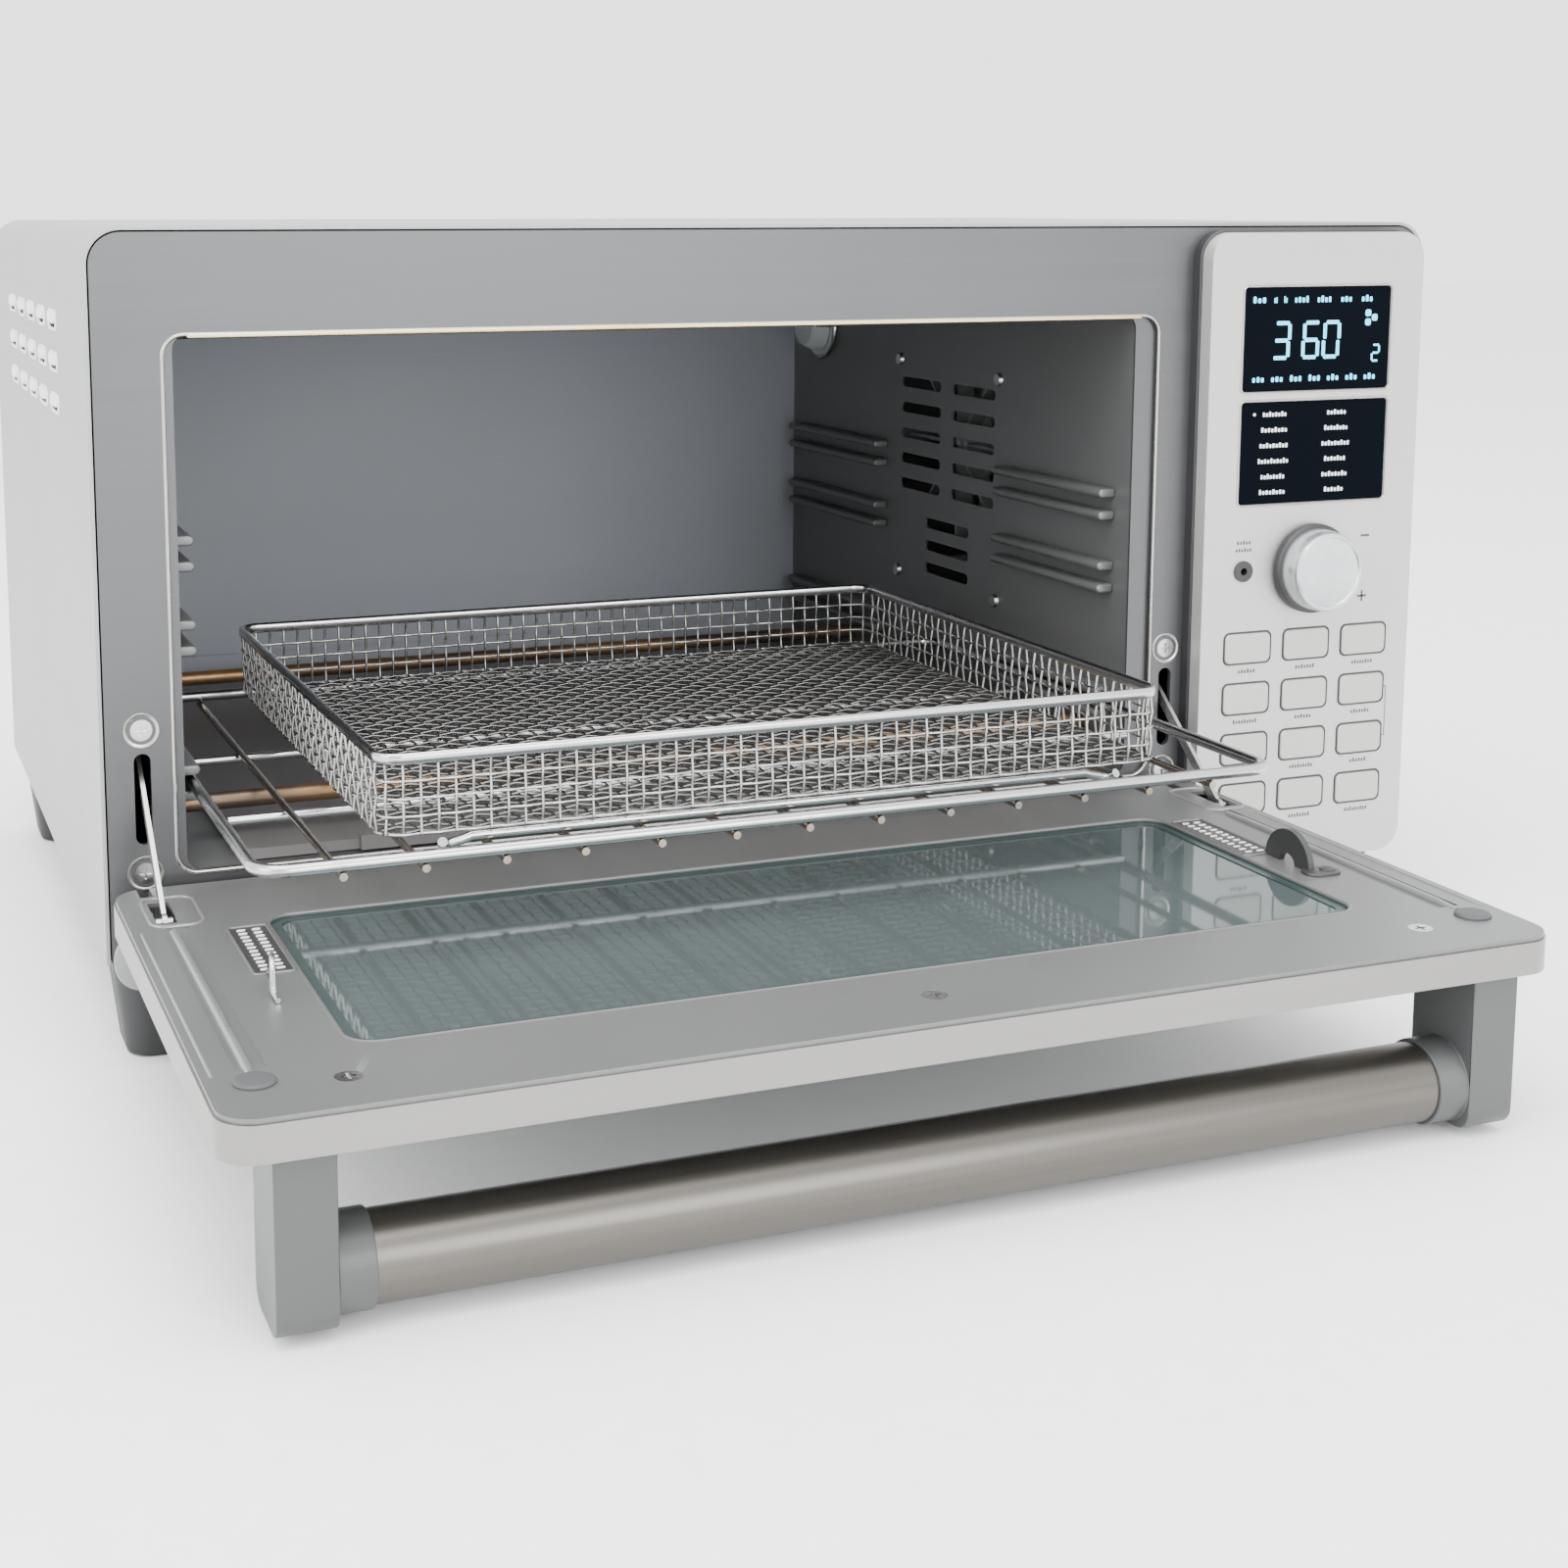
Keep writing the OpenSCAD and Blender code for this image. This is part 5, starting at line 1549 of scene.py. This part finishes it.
@dataclass
class RackAndBasket:
    """Wire rack and the woven basket that stands on it.

    Attributes:
        palette: the finishes.
        weave: the woven pattern.
        pitch: the weave's pitch.
        wire: radius of a woven wire.
        crimp: how far a wire bends out of its plane.
        corner_r: radius of the basket's upright corners.
        floor_share: how thick the floor's wire is against the walls' wire.
        cradle_r: radius of the bent wires below the basket.
        bearer_r: radius of the wires across them.
    """

    palette: Palette
    weave: Weave
    pitch: float = 5.4
    wire: float = 0.46
    crimp: float = 0.42
    corner_r: float = 7.0
    floor_share: float = 0.85
    cradle_r: float = 1.5
    bearer_r: float = 1.1

    def build(self) -> None:
        """Dresses the rack and makes the basket."""
        dress(self.palette.chrome, "rack_end_rails", "rack_side_rails")
        # Brownish banded tone on the rack wires: painted reflection.
        dress(self.palette.rack_wire_reflection, "rack_wires")
        box = Span("basket_mesh")
        path = np.array(rounded_outline(grown(box.top, -0.8), self.corner_r, 12))
        ring = np.vstack((path, path[:1]))
        run = np.concatenate(([0.0], np.cumsum(np.hypot(*np.diff(ring, axis=0).T))))
        pitch = float(run[-1]) / (2 * round(float(run[-1]) / self.pitch / 2))
        self.walls(box, ring, run, pitch)
        self.bottom(box, pitch)
        self.rim()
        self.cradle()

    def woven(self, finish: Finish, width: float, height: float, pitch: float, wire: float) -> Mesh:
        """A flat piece of the weave, from sizes in millimetres."""
        return self.weave.mesh(finish, Width=width * MM, Height=height * MM, Pitch=pitch * MM,
                               Crimp=self.crimp * MM, Wire=wire * MM)

    def walls(self, box: Span, ring: np.ndarray, run: np.ndarray, pitch: float) -> None:
        """Bends a flat weave round the basket's corners.

        Args:
            box: the basket's box.
            ring: the walls' path, closed.
            run: distance along the path at each of its points.
            pitch: the pitch that fits the path.
        """
        total = float(run[-1])
        rows = math.floor((box.z1 - box.z0) / pitch)
        wall = self.woven(self.palette.weave, total - 0.01, rows * pitch, pitch, self.wire)

        def along(s: np.ndarray) -> np.ndarray:
            """Points of the path at distances from its start."""
            s = np.clip(s, 0, total)
            return np.stack((np.interp(s, run, ring[:, 0]), np.interp(s, run, ring[:, 1])), 1)

        def wrap(a: np.ndarray) -> np.ndarray:
            """Bends the flat wall onto the path."""
            s = np.clip(a[:, 0] / MM, 0, total)
            way = along(s + 0.4) - along(s - 0.4)
            way /= np.hypot(*way.T)[:, None] + 1e-9
            outward = np.stack((way[:, 1], -way[:, 0]), 1) * (a[:, 2:3] / MM)
            return np.column_stack((along(s) + outward, box.z0 + 1.0 + a[:, 1] / MM)) * MM

        self.add_weave("basket_walls", remap(wall, wrap))

    def bottom(self, box: Span, pitch: float) -> None:
        """Weaves the floor with the same pitch.

        Args:
            box: the basket's box.
            pitch: the walls' pitch.
        """
        u0, u1, v0, v1 = grown(box.top, -1.8)
        across = math.floor((u1 - u0) / pitch) * pitch
        deep = math.floor((v1 - v0) / pitch) * pitch
        # The floor takes a darker copy of the wall weave: painted shade inside the basket.
        floor = self.woven(self.palette.weave_shaded, across, deep, pitch, self.wire * self.floor_share)
        shift = np.array((box.cx - across / 2, box.cy - deep / 2, box.z0 + 1.2)) * MM
        self.add_weave("basket_floor", remap(floor, lambda a: a + shift))

    def add_weave(self, name: str, mesh: Mesh) -> None:
        """Adds a woven piece of the basket.

        Args:
            name: the piece's name.
            mesh: its woven mesh.
        """
        piece = add_mesh(name, joined(name, [mesh]), None, "basket", 80.0)
        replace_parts(piece, "basket_mesh")

    def rim(self) -> None:
        """Folded bright band round the basket's mouth."""
        rim = Span("basket_rim")
        outline = rounded_outline(grown(rim.top, -1.2), self.corner_r + 0.2, 12)
        h = rim.z1 - rim.z0
        outer = [(1.15, 0.5), (1.15, h - 1.0), (0.8, h - 0.25)]
        inner = [(-0.8, h - 0.25), (-1.15, h - 1.0), (-1.15, 0.5)]
        bm = bmesh.new()
        sweep_loop(bm, Plane.TOP, outline, rim.z0, outer + [(0.0, h)] + inner + [(-0.6, 0.0), (0.6, 0.0)])
        piece = add_shape("basket_band", bm, self.palette.chrome, "basket", 50.0)
        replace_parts(piece, "basket_rim")

    def cradle(self) -> None:
        """Bent wires under the basket that end in looped feet."""
        old, r = Span("basket_cradle"), self.cradle_r
        z, low = old.z1 - r, old.z0 + r
        bm = bmesh.new()
        for y, out in ((old.y0 + r, -1), (old.y1 - r, 1)):
            foot = [(-5, y + out * 4, z), (-4.4, y + out * 1.5, low + 0.6), (-2.5, y, low),
                    (-0.5, y, low + 0.5), (2.0, y, z - 1.0), (5, y, z)]
            left = [(old.x0 + 16 + du, v, w) for du, v, w in foot]
            right = [(old.x1 - 16 - du, v, w) for du, v, w in foot[::-1]]
            rod(bm, left + right, r, 12)
        for x in (old.x0 + 40, old.cx, old.x1 - 40):
            rod(bm, [(x, old.y0 + 2, z), (x, old.y1 - 2, z)], self.bearer_r, 10)
        piece = add_shape("cradle_wires", bm, self.palette.chrome, "basket")
        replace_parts(piece, "basket_cradle")


@dataclass
class Studio:
    """Floor, lights and camera.

    Attributes:
        floor_half: half the floor's width, in metres.
        surround: strength of the bright surround.
        eye: the camera's place.
        forward: its viewing direction.
        lens: focal length over a 36 mm sensor.
        shift: the framing shift.
    """

    floor_half: float = 6.0
    surround: float = 2.7
    eye: Point = (-338.0, -789.0, 279.3)
    forward: Point = (0.3548, 0.9243, -0.1409)
    lens: float = 52.19
    shift: tuple[float, float] = (0.0734, -0.1626)

    def build(self) -> None:
        """Makes the stage, the lights and the camera."""
        self.floor()
        self.lights()
        self.camera()

    def floor(self) -> None:
        """Pale floor with the faintest mottle."""
        mesh = bpy.data.meshes.new("floor")
        s = self.floor_half
        mesh.from_pydata([(-s, -s, 0), (s, -s, 0), (s, s, 0), (-s, s, 0)], [], [(0, 1, 2, 3)])
        floor = bpy.data.objects.new("floor", mesh)
        bpy.context.scene.collection.objects.link(floor)
        mesh.materials.append(Finish("floor_pale", (0.96, 0.96, 0.96), 0.8).material())

    def area(self, name: str, place: Point, aim: Point, size: float, power: float) -> None:
        """Adds one soft square light.

        Args:
            name: its name.
            place: where it hangs, in metres.
            aim: what it points at.
            size: its side, in metres.
            power: its power in watts.
        """
        data = bpy.data.lights.new(name, "AREA")
        data.size = size
        data.energy = power
        lamp = bpy.data.objects.new(name, data)
        lamp.location = place
        lamp.rotation_euler = (Vector(aim) - Vector(place)).to_track_quat("-Z", "Y").to_euler()
        bpy.context.scene.collection.objects.link(lamp)

    def lights(self) -> None:
        """Bright surround, a broad top light and two fills."""
        world = bpy.data.worlds.new("surround")
        world.use_nodes = True
        graph = Graph(world.node_tree)
        glow = {"Color": (0.95, 0.96, 0.97), "Strength": self.surround}
        back = graph.add("ShaderNodeBackground", None, glow)
        graph.add("ShaderNodeOutputWorld", None, {"Surface": back})
        bpy.context.scene.world = world
        self.area("top_light", (-0.3, -0.5, 2.0), (0, 0, 0.1), 1.8, 60.0)
        self.area("left_fill", (-2.0, -0.8, 1.0), (0, 0, 0.12), 1.4, 30.0)
        self.area("front_fill", (0.5, -2.4, 0.9), (0, 0, 0.15), 1.2, 34.0)

    def camera(self) -> None:
        """Places the camera from its direction, level with the horizon."""
        data = bpy.data.cameras.new("camera")
        data.lens = self.lens
        data.sensor_width = 36.0
        data.shift_x, data.shift_y = self.shift
        data.clip_start = 0.01
        camera = bpy.data.objects.new("camera", data)
        bpy.context.scene.collection.objects.link(camera)
        ahead = Vector(self.forward).normalized()
        right = ahead.cross(Vector((0, 0, 1))).normalized()
        up = right.cross(ahead)
        turn = Matrix((right, up, -ahead)).transposed().to_4x4()
        camera.matrix_world = Matrix.Translation(Vector(self.eye) * MM) @ turn
        bpy.context.scene.camera = camera


def main() -> None:
    logging.basicConfig(level=logging.INFO, format="%(name)s: %(message)s")
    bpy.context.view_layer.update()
    palette = Palette()
    slots = SlotGrid()
    for part in (Studio(), Casing(palette, slots), Cavity(palette), ControlPanel(palette),
                 Door(palette, slots), RackAndBasket(palette, Weave())):
        log.info("building %s", type(part).__name__)
        part.build()


if __name__ == "__main__":
    main()
